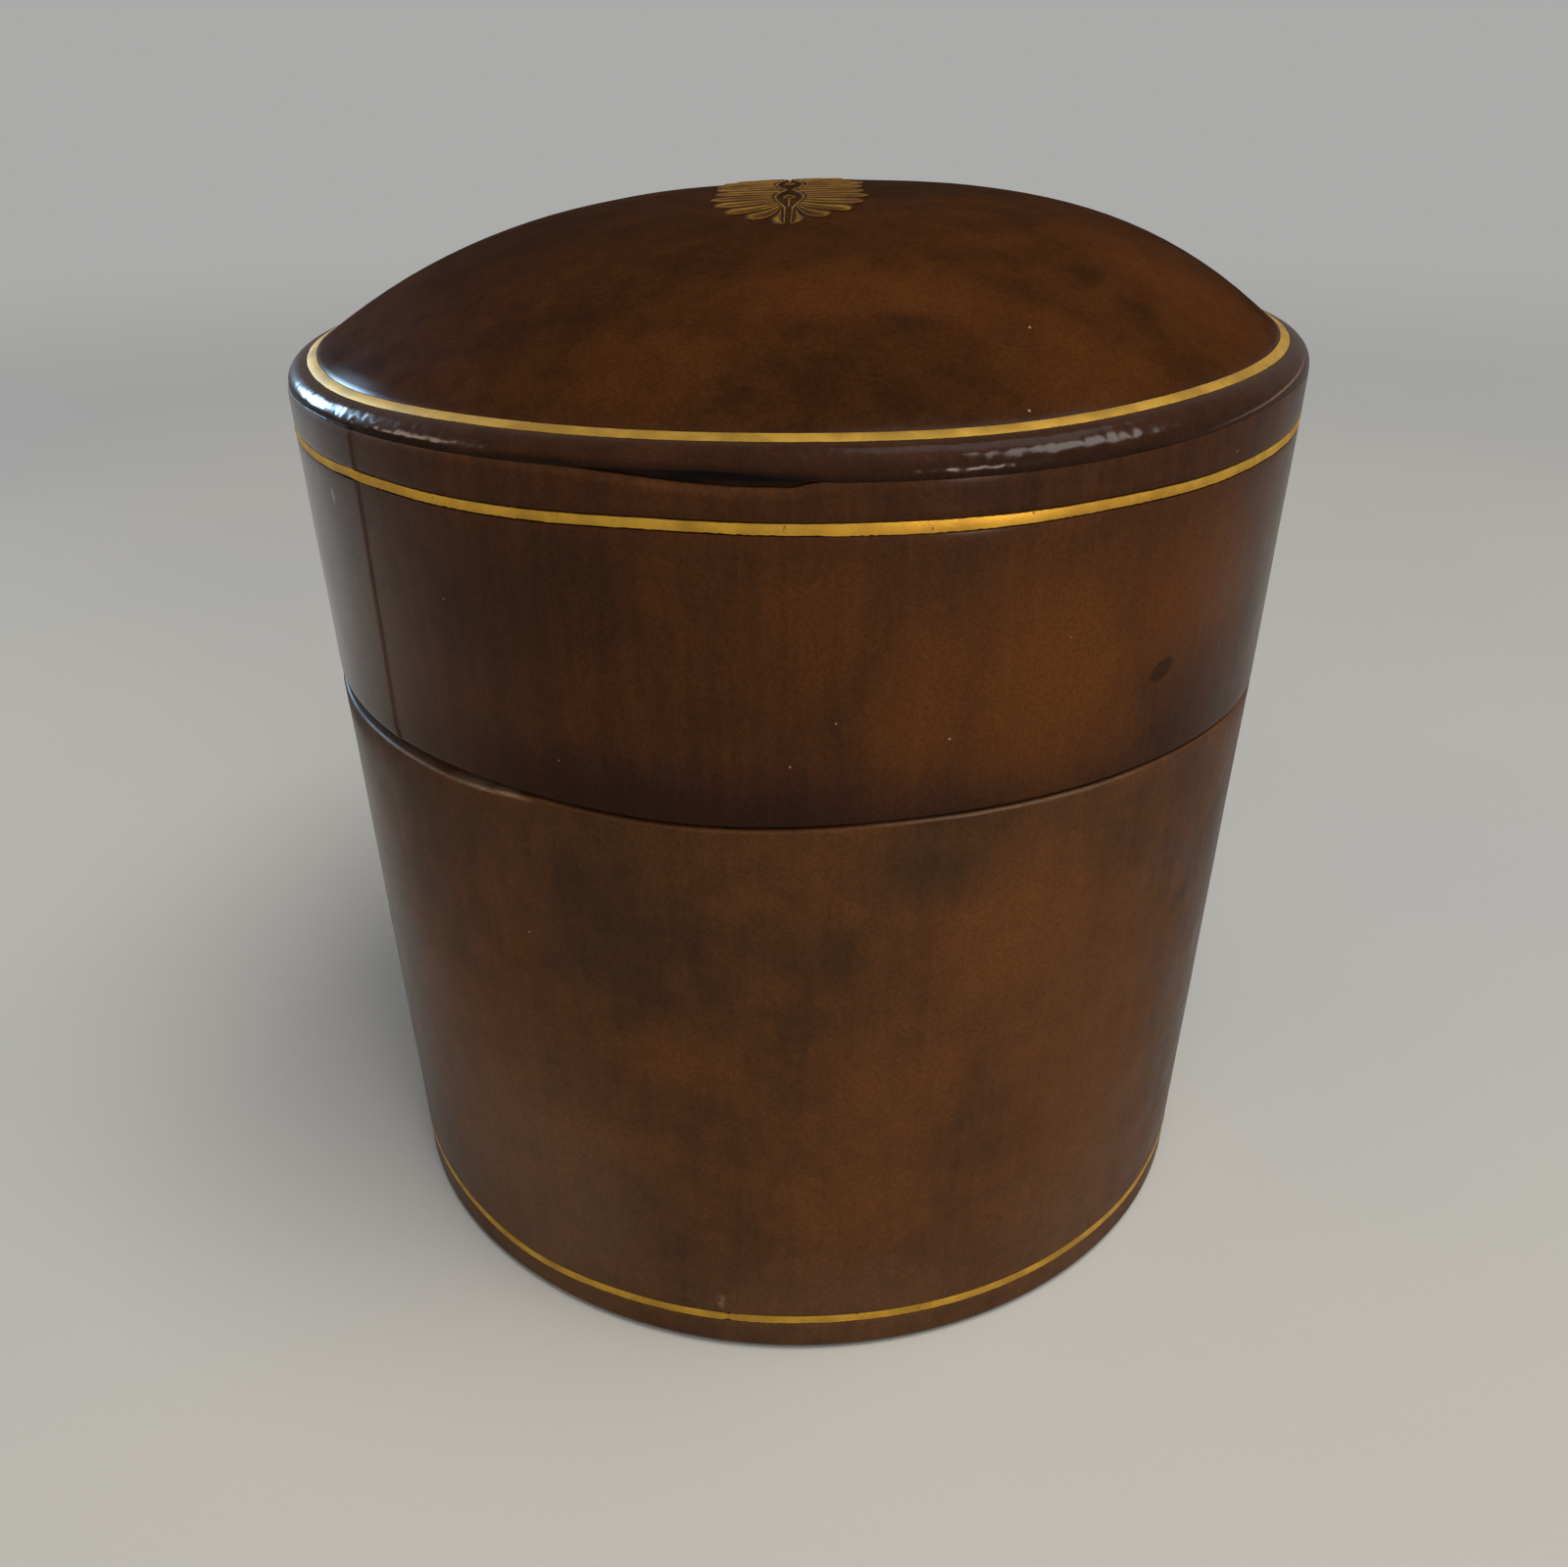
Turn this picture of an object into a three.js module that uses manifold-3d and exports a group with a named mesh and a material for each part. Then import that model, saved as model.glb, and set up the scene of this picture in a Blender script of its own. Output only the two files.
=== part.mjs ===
// Round leather jewelry box: a body that narrows to its foot, and a tall domed lid that slips over
// a neck standing up inside the body. Millimetres, +Z up, front towards -Y, origin under the middle.

import * as THREE from "three";
import { mergeVertices } from "three/addons/utils/BufferGeometryUtils.js";
import Module from "manifold-3d";

const wasm = await Module();
wasm.setup();

// Outside form, measured on the leather's face
const footRadius = 60.9;
const skirtTopRadius = 65.15;
const bodyHeight = 81.8;
const partingGap = 0.35;
const skirtDepth = 36.55; // the lid's straight wall
const domeRise = 16.15;
const domeFullness = 3; // exponent of the dome's curve: 2 is a parabola, more is flatter on top
const beadRadius = 2.8;
const beadReach = 0; // how far the bead stands out past the skirt
const beadUndercut = 20; // degrees below level at which the leather leaves the bead
const beadCrown = 83.5; // degrees above level at which the bead meets the gilt line
const edgeRound = 0.5; // softened edges of turned leather
const footRound = 1.2;
const footLift = 0.3; // the underside disc holds the leather this far off the surface

// Leather, boards and linings
const leather = 1.1;
const turnIn = 0.8; // leather pared thin where it is turned over an edge
const turnInHeight = 8; // how far the skirt leather runs up inside the lid
const glue = 0.25; // glue line between two layers
const lidBoard = 2.6;
const neckBoard = 1.8;
const lining = 0.6;
const suede = 0.8;
const baseBoard = 3.6;
const undersideDisc = 1;
const undersideInset = 2.6; // bare ring of turned leather round the underside disc
const spigotDepth = 3.2; // the dome board's plug, let down into the lid wall

// Fit of lid and neck
const fitClearance = 0.45;
const neckRise = 15.5;
const neckDraft = 0.3; // the neck draws in by this much at its top
const neckChamfer = 0.6;

// Pads
const floorPad = 4.5;
const floorCrown = 1.6;
const ceilingPad = 3;
const ceilingCrown = 1.4;
const padRound = 1.5;
const padSink = 0.5; // a pad's edge is drawn down this much at the wall

// Gilding
const giltWidth = 1.3;
const giltDepth = 0.4; // groove pressed by the tool
const giltProud = 0.05;
const leafGap = 0.12; // hairline between gold and the groove's sides
const domeLineSlope = 15; // degrees
const skirtLineDrop = 3.8; // below the skirt's top
const footLineHeight = 5.6;

// Lap seams, where the two ends of a wrap overlap
const skirtSeam = -48; // degrees from the front, towards +X
const bodySeam = 180;
const lapWidth = 12;
const lapRise = 0.35;
const lapBevel = 0.4; // degrees over which the upper end steps down

// Leaf ornament on the crown
const ornamentLength = 50;
const ornamentWidth = 19;
const ornamentThickness = 0.2;
const leafWidth = 4.4;
const stemWidth = 1.5;
const eyeLength = 4.4;
const eyeWidth = 2.6;
const eyeRim = 0.7;
// One row for each pair of leaves: root along the stem, tip along and across, as shares of the half sizes
const leafShares = [
  [0.58, 1, 0.1],
  [0.52, 0.9, 0.47],
  [0.42, 0.76, 0.76],
  [0.3, 0.56, 0.94],
  [0.17, 0.33, 1],
  [0.05, 0.11, 0.96],
];
// A leaf's edge leaves its root and meets its tip towards these points, as shares of width and length
const leafRootShares = [0.3, 0.35];
const leafTipShares = [0.85, 0.93];
const eyeShare = 0.3; // the eye's place on the half length

const facets = 54;
const domeSteps = 8;
const beadSteps = 6;
const hiddenBeadSteps = 3; // bead and dome are stepped this coarsely under the leather
const hiddenDomeSteps = 4;
const ornamentFacets = 18;
const leafSteps = 5;
const ornamentOverrun = 2; // cuts run past what they cut by this much

const degree = Math.PI / 180;

const rimHeight = bodyHeight;
const skirtFoot = bodyHeight + partingGap;
const skirtTopHeight = skirtFoot + skirtDepth;
const skirtLineHeight = skirtTopHeight - skirtLineDrop;

// Radii at any height

// The leather's face: one straight taper runs through body and skirt.
function faceRadius(z) {
  return footRadius + ((skirtTopRadius - footRadius) * z) / skirtTopHeight;
}

const boardDepth = leather + glue; // from the leather's face to the board's
const baseBottom = undersideDisc + glue;
const baseTop = baseBottom + baseBoard;
const lidWallFoot = skirtFoot + turnIn + glue;
const lidWallInside = boardDepth + lidBoard; // from the face to the lid wall's inner side
const mouthRadius = faceRadius(skirtFoot) - lidWallInside - glue - turnIn;
const neckRadius = mouthRadius - fitClearance;
const neckDepth = faceRadius(rimHeight) - neckRadius; // from the face to the neck's outer side
const bodyWallInside = neckDepth - glue;
const neckTop = rimHeight + neckRise;
const undersideRadius = faceRadius(footLift) - undersideInset;

// Cap: bead, line seat and dome, measured on the leather's face
const capUnderside = skirtTopHeight + glue;
const beadCentre = new THREE.Vector2(
  skirtTopRadius + beadReach - beadRadius,
  capUnderside + beadRadius * Math.sin(beadUndercut * degree),
);
const seatHalf = giltWidth / 2 + leafGap;
const seatOuterAngle = beadCrown * degree;
const domeEdgeRadius = beadCentre.x + beadRadius * Math.cos(seatOuterAngle) - 2 * seatHalf;
const domeEdgeHeight =
  beadCentre.y + beadRadius * Math.sin(seatOuterAngle) + 2 * seatHalf * Math.tan(domeLineSlope * degree);
const capTurnTop = capUnderside + turnIn;
const boardFlange = capTurnTop + glue;
const lidWallInnerTop = faceRadius(skirtTopHeight) - lidWallInside;
const spigotRadius = faceRadius(boardFlange - spigotDepth) - lidWallInside - glue;
const ceiling = boardFlange - spigotDepth;

function domeHeight(r) {
  return domeEdgeHeight + domeRise * (1 - (r / domeEdgeRadius) ** domeFullness);
}

// Profiles are lists of points [radius, height, lapShare]; they run anticlockwise, up the outside.

// A point of the bead, at an angle above level, with the given depth under the leather's face.
function beadPoint(angle, depth) {
  const reach = beadRadius - depth;
  return [beadCentre.x + reach * Math.cos(angle), beadCentre.y + reach * Math.sin(angle)];
}

// A point of the dome, with the given depth under the leather's face, square to it.
function domePoint(r, depth) {
  const slope = ((domeRise * domeFullness) / domeEdgeRadius) * (r / domeEdgeRadius) ** (domeFullness - 1);
  const steep = Math.hypot(slope, 1);
  return [r - (depth * slope) / steep, domeHeight(r) - depth / steep];
}

// The cap's outline from the bead up to the crown, at a depth under the leather's face.
function capOutline(depth, lowest, cut) {
  const points = [];
  const start = Math.asin((lowest - beadCentre.y) / (beadRadius - depth));
  const [aroundBead, overDome] = depth > 0 ? [hiddenBeadSteps, hiddenDomeSteps] : [beadSteps, domeSteps];
  for (let i = 0; i <= aroundBead; i++) {
    const angle = start + ((seatOuterAngle - start) * i) / aroundBead;
    points.push(beadPoint(angle, depth));
  }
  const edge = domePoint(domeEdgeRadius, depth);
  if (cut > 0) points.push(...groove(points.pop(), edge, cut));
  else points.push(edge);
  for (let i = overDome - 1; i >= 0; i--) {
    const [r, z] = domePoint((domeEdgeRadius * i) / overDome, depth);
    points.push([i === 0 ? 0 : r, z]);
  }
  return points;
}

// The unit vector along a stretch of outline, and the one that points out of it.
function directions(a, b) {
  const along = new THREE.Vector2(b[0] - a[0], b[1] - a[1]).normalize();
  return { along, out: new THREE.Vector2(along.y, -along.x) };
}

// The corners of a groove cut square into the straight stretch from a to b.
function groove(a, b, depth) {
  const { out } = directions(a, b);
  return [
    a,
    [a[0] - out.x * depth, a[1] - out.y * depth, a[2]],
    [b[0] - out.x * depth, b[1] - out.y * depth, b[2]],
    b,
  ];
}

// The closed section of the gold that lies in that groove.
function inlay(a, b, depth) {
  const { along, out } = directions(a, b);
  const corner = (from, step, height) => [
    from[0] + along.x * step + out.x * height,
    from[1] + along.y * step + out.y * height,
    1,
  ];
  const sunk = leafGap - depth;
  return [
    corner(a, leafGap, giltProud),
    corner(b, -leafGap, giltProud),
    corner(b, -leafGap, sunk),
    corner(a, leafGap, sunk),
  ];
}

// The two ends of a line's seat on the tapered wall.
function wallSeat(height) {
  return [
    [faceRadius(height - seatHalf), height - seatHalf, 1],
    [faceRadius(height + seatHalf), height + seatHalf, 1],
  ];
}

function domeSeat() {
  return [beadPoint(seatOuterAngle, 0), domePoint(domeEdgeRadius, 0)];
}

// Solids

// A turned piece: the profile starts and ends on the axis, or is closed when ring is true.
function turned(profile, { ring = false, segments = facets } = {}) {
  const points = profile.map(([r, z]) => new THREE.Vector2(r, z));
  if (ring) points.push(points[0].clone());
  return new THREE.LatheGeometry(points, segments).rotateX(Math.PI / 2);
}

// A wrap: a closed section carried round the box, whose end rises over its beginning at the seam.
function wrapped(profile, seamDegrees) {
  const fullTurn = 2 * Math.PI;
  const seam = seamDegrees * degree;
  const bevel = lapBevel * degree;
  const lapAngle = lapWidth / skirtTopRadius;
  // Angles are counted back from the seam: the raised end is at 0 and starts to rise at lapAngle.
  const marks = [0, lapAngle, fullTurn - bevel];
  const clear = (angle) => [...marks, fullTurn].every((mark) => Math.abs(angle - mark) > bevel / 2);
  const backAngles = [...marks];
  for (let i = 0; i < facets; i++) {
    const angle = THREE.MathUtils.euclideanModulo(seam - (fullTurn * i) / facets, fullTurn);
    if (clear(angle)) backAngles.push(angle);
  }
  backAngles.sort((a, b) => b - a);
  const positions = [];
  for (const back of backAngles) {
    const lap = Math.max(0, 1 - back / lapAngle);
    for (const [r, z, share = 0] of profile) {
      const reach = r + lapRise * lap * share;
      positions.push(reach * Math.sin(seam - back), -reach * Math.cos(seam - back), z);
    }
  }
  const count = profile.length;
  const rings = backAngles.length;
  const indices = [];
  for (let i = 0; i < rings; i++) {
    for (let j = 0; j < count; j++) {
      const a = i * count + j;
      const b = ((i + 1) % rings) * count + j;
      const c = ((i + 1) % rings) * count + ((j + 1) % count);
      const d = i * count + ((j + 1) % count);
      indices.push(a, b, d, c, d, b);
    }
  }
  const geometry = new THREE.BufferGeometry();
  geometry.setAttribute("position", new THREE.Float32BufferAttribute(positions, 3));
  geometry.setIndex(indices);
  return geometry;
}

function solidOf(geometry) {
  const bare = geometry.clone();
  bare.deleteAttribute("normal");
  bare.deleteAttribute("uv");
  const merged = mergeVertices(bare);
  return new wasm.Manifold(
    new wasm.Mesh({
      numProp: 3,
      vertProperties: new Float32Array(merged.attributes.position.array),
      triVerts: new Uint32Array(merged.index.array),
    }),
  );
}

function geometryOf(solid) {
  const mesh = solid.getMesh();
  const geometry = new THREE.BufferGeometry();
  geometry.setAttribute("position", new THREE.BufferAttribute(new Float32Array(mesh.vertProperties), 3));
  geometry.setIndex(new THREE.BufferAttribute(new Uint32Array(mesh.triVerts), 1));
  return geometry;
}

// Body

function undersideSolid() {
  return turned([
    [0, 0],
    [undersideRadius, 0],
    [undersideRadius, undersideDisc],
    [0, undersideDisc],
  ]);
}

function baseSolid() {
  const inside = (z) => faceRadius(z) - bodyWallInside - glue;
  return turned([
    [0, baseBottom],
    [inside(baseBottom), baseBottom],
    [inside(baseTop), baseTop],
    [0, baseTop],
  ]);
}

function bodyWallSolid() {
  const top = rimHeight - turnIn - glue;
  return turned(
    [
      [faceRadius(baseBottom) - boardDepth, baseBottom],
      [faceRadius(top) - boardDepth, top],
      [faceRadius(top) - bodyWallInside, top],
      [faceRadius(baseBottom) - bodyWallInside, baseBottom],
    ],
    { ring: true },
  );
}

// Leather round the body wall, turned over the rim to the neck and under the foot to the disc.
function bodyLeatherSolid() {
  const footInside = undersideRadius + glue;
  const footTop = baseBottom - glue;
  const rimInside = neckRadius + glue;
  const halfway = footRound * (1 - Math.SQRT1_2); // the middle of the foot's quarter round
  return wrapped(
    [
      [footInside, footLift],
      [faceRadius(footLift) - footRound, footLift, 1],
      [faceRadius(footLift) - halfway, footLift + halfway, 1],
      [faceRadius(footLift + footRound), footLift + footRound, 1],
      ...groove(...wallSeat(footLineHeight), giltDepth),
      [faceRadius(rimHeight - edgeRound), rimHeight - edgeRound, 1],
      [faceRadius(rimHeight) - edgeRound, rimHeight],
      [rimInside, rimHeight],
      [rimInside, rimHeight - turnIn],
      [faceRadius(rimHeight - turnIn) - leather, rimHeight - turnIn],
      [faceRadius(footTop) - leather, footTop],
      [footInside, footTop],
    ],
    bodySeam,
  );
}

// The neck runs from the base board up past the rim, where it draws in a little for the lid.
function neckSolid() {
  const foot = baseTop + glue;
  const footRadiusHere = faceRadius(foot) - neckDepth;
  const topRadius = neckRadius - neckDraft;
  return turned(
    [
      [footRadiusHere, foot],
      [neckRadius, rimHeight],
      [topRadius, neckTop - neckChamfer],
      [topRadius - neckChamfer, neckTop],
      [topRadius - neckBoard, neckTop],
      [neckRadius - neckBoard, rimHeight],
      [footRadiusHere - neckBoard, foot],
    ],
    { ring: true },
  );
}

function bodyLiningSolid() {
  const foot = baseTop + glue;
  const outer = glue + neckBoard;
  const footFace = faceRadius(foot) - neckDepth - outer;
  const rimFace = neckRadius - outer;
  const topFace = neckRadius - neckDraft - outer;
  return turned(
    [
      [footFace, foot],
      [rimFace, rimHeight],
      [topFace, neckTop],
      [topFace - suede, neckTop],
      [rimFace - suede, rimHeight],
      [footFace - suede, foot],
    ],
    { ring: true },
  );
}

// A round pad: flat where it is glued, crowned where it shows, its edge drawn in at the wall.
function padProfile(radius, flat, thickness, crown, up) {
  const edge = thickness - padSink;
  const swell = (r) => edge + crown * (1 - (r / (radius - padRound)) ** 2);
  const halfway = (radius - padRound) / 2;
  const section = [
    [0, 0],
    [radius - padSink, 0],
    [radius, padRound],
    [radius - padRound, edge],
    [halfway, swell(halfway)],
    [0, swell(0)],
  ].map(([r, h]) => [r, flat + up * h]);
  return up > 0 ? section : section.reverse();
}

function floorPadSolid() {
  const flat = baseTop + glue;
  const radius = faceRadius(flat) - neckDepth - 2 * glue - neckBoard - suede;
  return turned(padProfile(radius, flat, floorPad, floorCrown, 1));
}

function footLineSolid() {
  return wrapped(inlay(...wallSeat(footLineHeight), giltDepth), bodySeam);
}

// Lid

// Turned board with a bead on its edge, let down into the lid wall by a plug.
function domeBoardSolid() {
  return turned([
    [0, ceiling],
    [spigotRadius, ceiling],
    [spigotRadius, boardFlange],
    ...capOutline(boardDepth, boardFlange, 0),
  ]);
}

// Leather drawn over the dome and round the bead, and turned in under the board.
function capLeatherSolid() {
  const inside = capOutline(leather, capTurnTop, 0).reverse();
  return turned([
    ...capOutline(0, capUnderside, giltDepth),
    ...inside,
    [lidWallInnerTop, capTurnTop],
    [lidWallInnerTop, capUnderside],
    capOutline(0, capUnderside, 0)[0],
  ]);
}

function lidWallSolid() {
  return turned(
    [
      [faceRadius(lidWallFoot) - boardDepth, lidWallFoot],
      [faceRadius(skirtTopHeight) - boardDepth, skirtTopHeight],
      [lidWallInnerTop, skirtTopHeight],
      [faceRadius(lidWallFoot) - lidWallInside, lidWallFoot],
    ],
    { ring: true },
  );
}

// Leather round the lid wall, turned round its lower end and up inside.
function skirtLeatherSolid() {
  const turnTop = skirtFoot + turnInHeight;
  const behind = lidWallInside + glue;
  return wrapped(
    [
      [mouthRadius + edgeRound, skirtFoot],
      [faceRadius(skirtFoot) - edgeRound, skirtFoot],
      [faceRadius(skirtFoot + edgeRound), skirtFoot + edgeRound, 1],
      ...groove(...wallSeat(skirtLineHeight), giltDepth),
      [faceRadius(skirtTopHeight), skirtTopHeight, 1],
      [faceRadius(skirtTopHeight) - leather, skirtTopHeight],
      [faceRadius(lidWallFoot - glue) - leather, lidWallFoot - glue],
      [faceRadius(lidWallFoot - glue) - behind, lidWallFoot - glue],
      [faceRadius(turnTop) - behind, turnTop],
      [faceRadius(turnTop) - behind - turnIn, turnTop],
      [mouthRadius, skirtFoot + edgeRound],
    ],
    skirtSeam,
  );
}

function skirtLineSolid() {
  return wrapped(inlay(...wallSeat(skirtLineHeight), giltDepth), skirtSeam);
}

function domeLineSolid() {
  return turned(inlay(...domeSeat(), giltDepth), { ring: true });
}

function lidLiningSolid() {
  const foot = skirtFoot + turnInHeight + glue;
  const top = ceiling - glue;
  const outer = lidWallInside + glue;
  return turned(
    [
      [faceRadius(foot) - outer, foot],
      [faceRadius(top) - outer, top],
      [faceRadius(top) - outer - lining, top],
      [faceRadius(foot) - outer - lining, foot],
    ],
    { ring: true },
  );
}

function ceilingPadSolid() {
  const flat = ceiling - glue;
  const lowest = flat - ceilingPad - ceilingCrown;
  const radius = faceRadius(lowest) - lidWallInside - 2 * glue - lining;
  return turned(padProfile(radius, flat, ceilingPad, ceilingCrown, -1));
}

// Leaf ornament: pointed leaves fan out from a stem to a long lozenge, alike on both sides and
// at both ends, with a ringed eye in each half. The leaves are cut from a thin skin of the dome.
function leafShape(length) {
  const [rootX, rootY] = [leafWidth * leafRootShares[0], length * leafRootShares[1]];
  const [tipX, tipY] = [leafWidth * leafTipShares[0], length * leafTipShares[1]];
  const shape = new THREE.Shape();
  shape.moveTo(0, 0);
  shape.bezierCurveTo(rootX, rootY, tipX, tipY, 0, length);
  shape.bezierCurveTo(-tipX, tipY, -rootX, rootY, 0, 0);
  return shape;
}

function ellipseShape(length, width) {
  return new THREE.Shape().absellipse(0, 0, width / 2, length / 2, 0, 2 * Math.PI);
}

// A prism of the shape, stood at the root and turned by an angle about it.
function prism(shape, rootY, angle) {
  const bottom = domeHeight(ornamentLength / 2) - ornamentOverrun;
  const depth = domeHeight(0) + 2 * ornamentOverrun - bottom;
  const geometry = new THREE.ExtrudeGeometry(shape, { depth, bevelEnabled: false, curveSegments: leafSteps });
  return solidOf(geometry.rotateZ(angle).translate(0, rootY, bottom));
}

function ornamentSolid() {
  const halfLength = ornamentLength / 2;
  const halfWidth = ornamentWidth / 2;
  let pattern = prism(ellipseShape(ornamentLength * leafShares[1][1], stemWidth), 0, 0);
  for (const end of [-1, 1]) {
    for (const side of [-1, 1]) {
      for (const [root, along, across] of leafShares) {
        const rise = (along - root) * halfLength * end;
        const reach = across * halfWidth * side;
        const length = Math.hypot(rise, reach);
        const angle = Math.atan2(-reach, rise);
        pattern = pattern.add(prism(leafShape(length), root * halfLength * end, angle));
      }
    }
    const eyePlace = eyeShare * halfLength * end;
    pattern = pattern
      .add(prism(ellipseShape(eyeLength + 2 * eyeRim, eyeWidth + 2 * eyeRim), eyePlace, 0))
      .subtract(prism(ellipseShape(eyeLength, eyeWidth), eyePlace, 0));
  }
  const skinPoints = [];
  const step = domeEdgeRadius / domeSteps;
  for (let i = 0; (i - 1) * step < halfLength; i++) skinPoints.push([i * step, domeHeight(i * step)]);
  const lifted = (lift) => skinPoints.map(([r, z]) => [r, z + lift]);
  const skin = turned([...lifted(leafGap), ...lifted(leafGap + ornamentThickness).reverse()], {
    segments: ornamentFacets,
  });
  return geometryOf(pattern.intersect(solidOf(skin)));
}

// Finishes

const finish = (color, roughness, metalness = 0) =>
  new THREE.MeshStandardMaterial({ color, roughness, metalness });

const brownLeather = () => finish(0x4a2513, 0.38);
const gilt = () => finish(0xb8862b, 0.35, 1);
const board = () => finish(0xa98358, 0.8);
const brownSuede = () => finish(0x5b3a26, 0.95);

function piece(name, geometry, material) {
  const mesh = new THREE.Mesh(geometry, material);
  mesh.name = name;
  return mesh;
}

const body = new THREE.Group();
body.add(
  piece("underside_disc", undersideSolid(), finish(0x2f1a10, 0.85)),
  piece("base_board", baseSolid(), board()),
  piece("body_wall", bodyWallSolid(), board()),
  piece("body_leather", bodyLeatherSolid(), brownLeather()),
  piece("neck_hoop", neckSolid(), finish(0x3a2013, 0.6)),
  piece("body_lining", bodyLiningSolid(), brownSuede()),
  piece("floor_pad", floorPadSolid(), brownSuede()),
  piece("gilt_line_foot", footLineSolid(), gilt()),
);

const lid = new THREE.Group();
lid.add(
  piece("dome_board", domeBoardSolid(), board()),
  piece("lid_wall", lidWallSolid(), board()),
  piece("cap_leather", capLeatherSolid(), brownLeather()),
  piece("skirt_leather", skirtLeatherSolid(), brownLeather()),
  piece("lid_lining", lidLiningSolid(), brownSuede()),
  piece("ceiling_pad", ceilingPadSolid(), brownSuede()),
  piece("gilt_line_skirt", skirtLineSolid(), gilt()),
  piece("gilt_line_dome", domeLineSolid(), gilt()),
  piece("gilt_ornament", ornamentSolid(), gilt()),
);

const jewelryBox = new THREE.Group();
jewelryBox.add(body, lid);

export default jewelryBox;
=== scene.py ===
# Round leather jewelry box with a domed lid. Metres, +Z up, front towards -Y.
import math

import bmesh
import bpy
from mathutils import Matrix, Vector, noise


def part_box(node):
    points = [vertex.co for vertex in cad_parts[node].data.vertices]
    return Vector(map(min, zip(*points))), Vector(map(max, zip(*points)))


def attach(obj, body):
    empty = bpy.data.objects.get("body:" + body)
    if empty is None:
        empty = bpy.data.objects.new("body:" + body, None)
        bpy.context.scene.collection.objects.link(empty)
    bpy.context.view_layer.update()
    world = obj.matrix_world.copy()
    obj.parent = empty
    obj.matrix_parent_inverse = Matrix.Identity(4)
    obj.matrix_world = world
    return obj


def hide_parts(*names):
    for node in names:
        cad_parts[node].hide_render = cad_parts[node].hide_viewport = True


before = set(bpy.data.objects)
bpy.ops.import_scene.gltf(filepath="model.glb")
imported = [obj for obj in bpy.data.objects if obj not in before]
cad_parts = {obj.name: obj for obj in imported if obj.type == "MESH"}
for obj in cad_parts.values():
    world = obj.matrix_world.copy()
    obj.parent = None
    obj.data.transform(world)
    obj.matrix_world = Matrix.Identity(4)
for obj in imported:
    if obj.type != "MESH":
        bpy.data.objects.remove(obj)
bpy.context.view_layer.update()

mm = 0.001
scene = bpy.context.scene
scene.view_settings.view_transform = "Standard"

# Camera
# The photograph is taken from just in front of the box and a little above its crown, looking down.
# Its place was worked out from how the three gilt circles lie in the picture.
picture_width = 1600
focal_length = 1480  # in pixels of the photograph
sensor_width = 36  # millimetres, as Blender counts them
camera_place = Vector((0, -199.1 * mm, 156.5 * mm))
camera_pitch, camera_turn, camera_roll = (math.radians(a) for a in (27.21, -0.53, -0.26))

level = Vector((math.cos(camera_turn), -math.sin(camera_turn), 0))
ahead = Vector((math.sin(camera_turn), math.cos(camera_turn), -math.tan(camera_pitch))).normalized()
rightwards = level * math.cos(camera_roll) + level.cross(ahead) * math.sin(camera_roll)
camera_data = bpy.data.cameras.new("camera")
camera_data.sensor_width = sensor_width
camera_data.lens = sensor_width * focal_length / picture_width
camera_data.clip_start = 10 * mm
camera = bpy.data.objects.new("camera", camera_data)
camera_axes = Matrix((rightwards, rightwards.cross(ahead), -ahead)).transposed()
camera.matrix_world = Matrix.Translation(camera_place) @ camera_axes.to_4x4()
scene.collection.objects.link(camera)
scene.camera = camera


# Table, backdrop and lamps
# A plain pale table top runs back and sweeps up into a backdrop of the same board. A broad warm
# lamp stands overhead to the right and a weak one in front. Bright cards stand round the box for
# a window, the ceiling and lit walls: they show only as reflections in the polished leather.
class Wire:
    """A shader socket that can be used in sums."""

    def __init__(self, finish, socket):
        self.finish = finish
        self.socket = socket

    def sum(self, operation, *values):
        return self.finish.node("ShaderNodeMath", dict(enumerate(values)), operation=operation)

    def __add__(self, other):
        return self.sum("ADD", self, other)

    def __sub__(self, other):
        return self.sum("SUBTRACT", self, other)

    def __rsub__(self, other):
        return self.sum("SUBTRACT", other, self)

    def __mul__(self, other):
        return self.sum("MULTIPLY", self, other)

    __radd__ = __add__
    __rmul__ = __mul__

    def rise(self, low, high):
        """0 at low, 1 at high and a smooth curve between; low may be the greater."""
        ends = {"Value": self, "From Min": low, "From Max": high}
        return self.finish.node("ShaderNodeMapRange", ends, interpolation_type="SMOOTHSTEP")

    def beside(self, output):
        """Another output of the node that this wire comes from."""
        return Wire(self.finish, self.socket.node.outputs[output])


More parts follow.
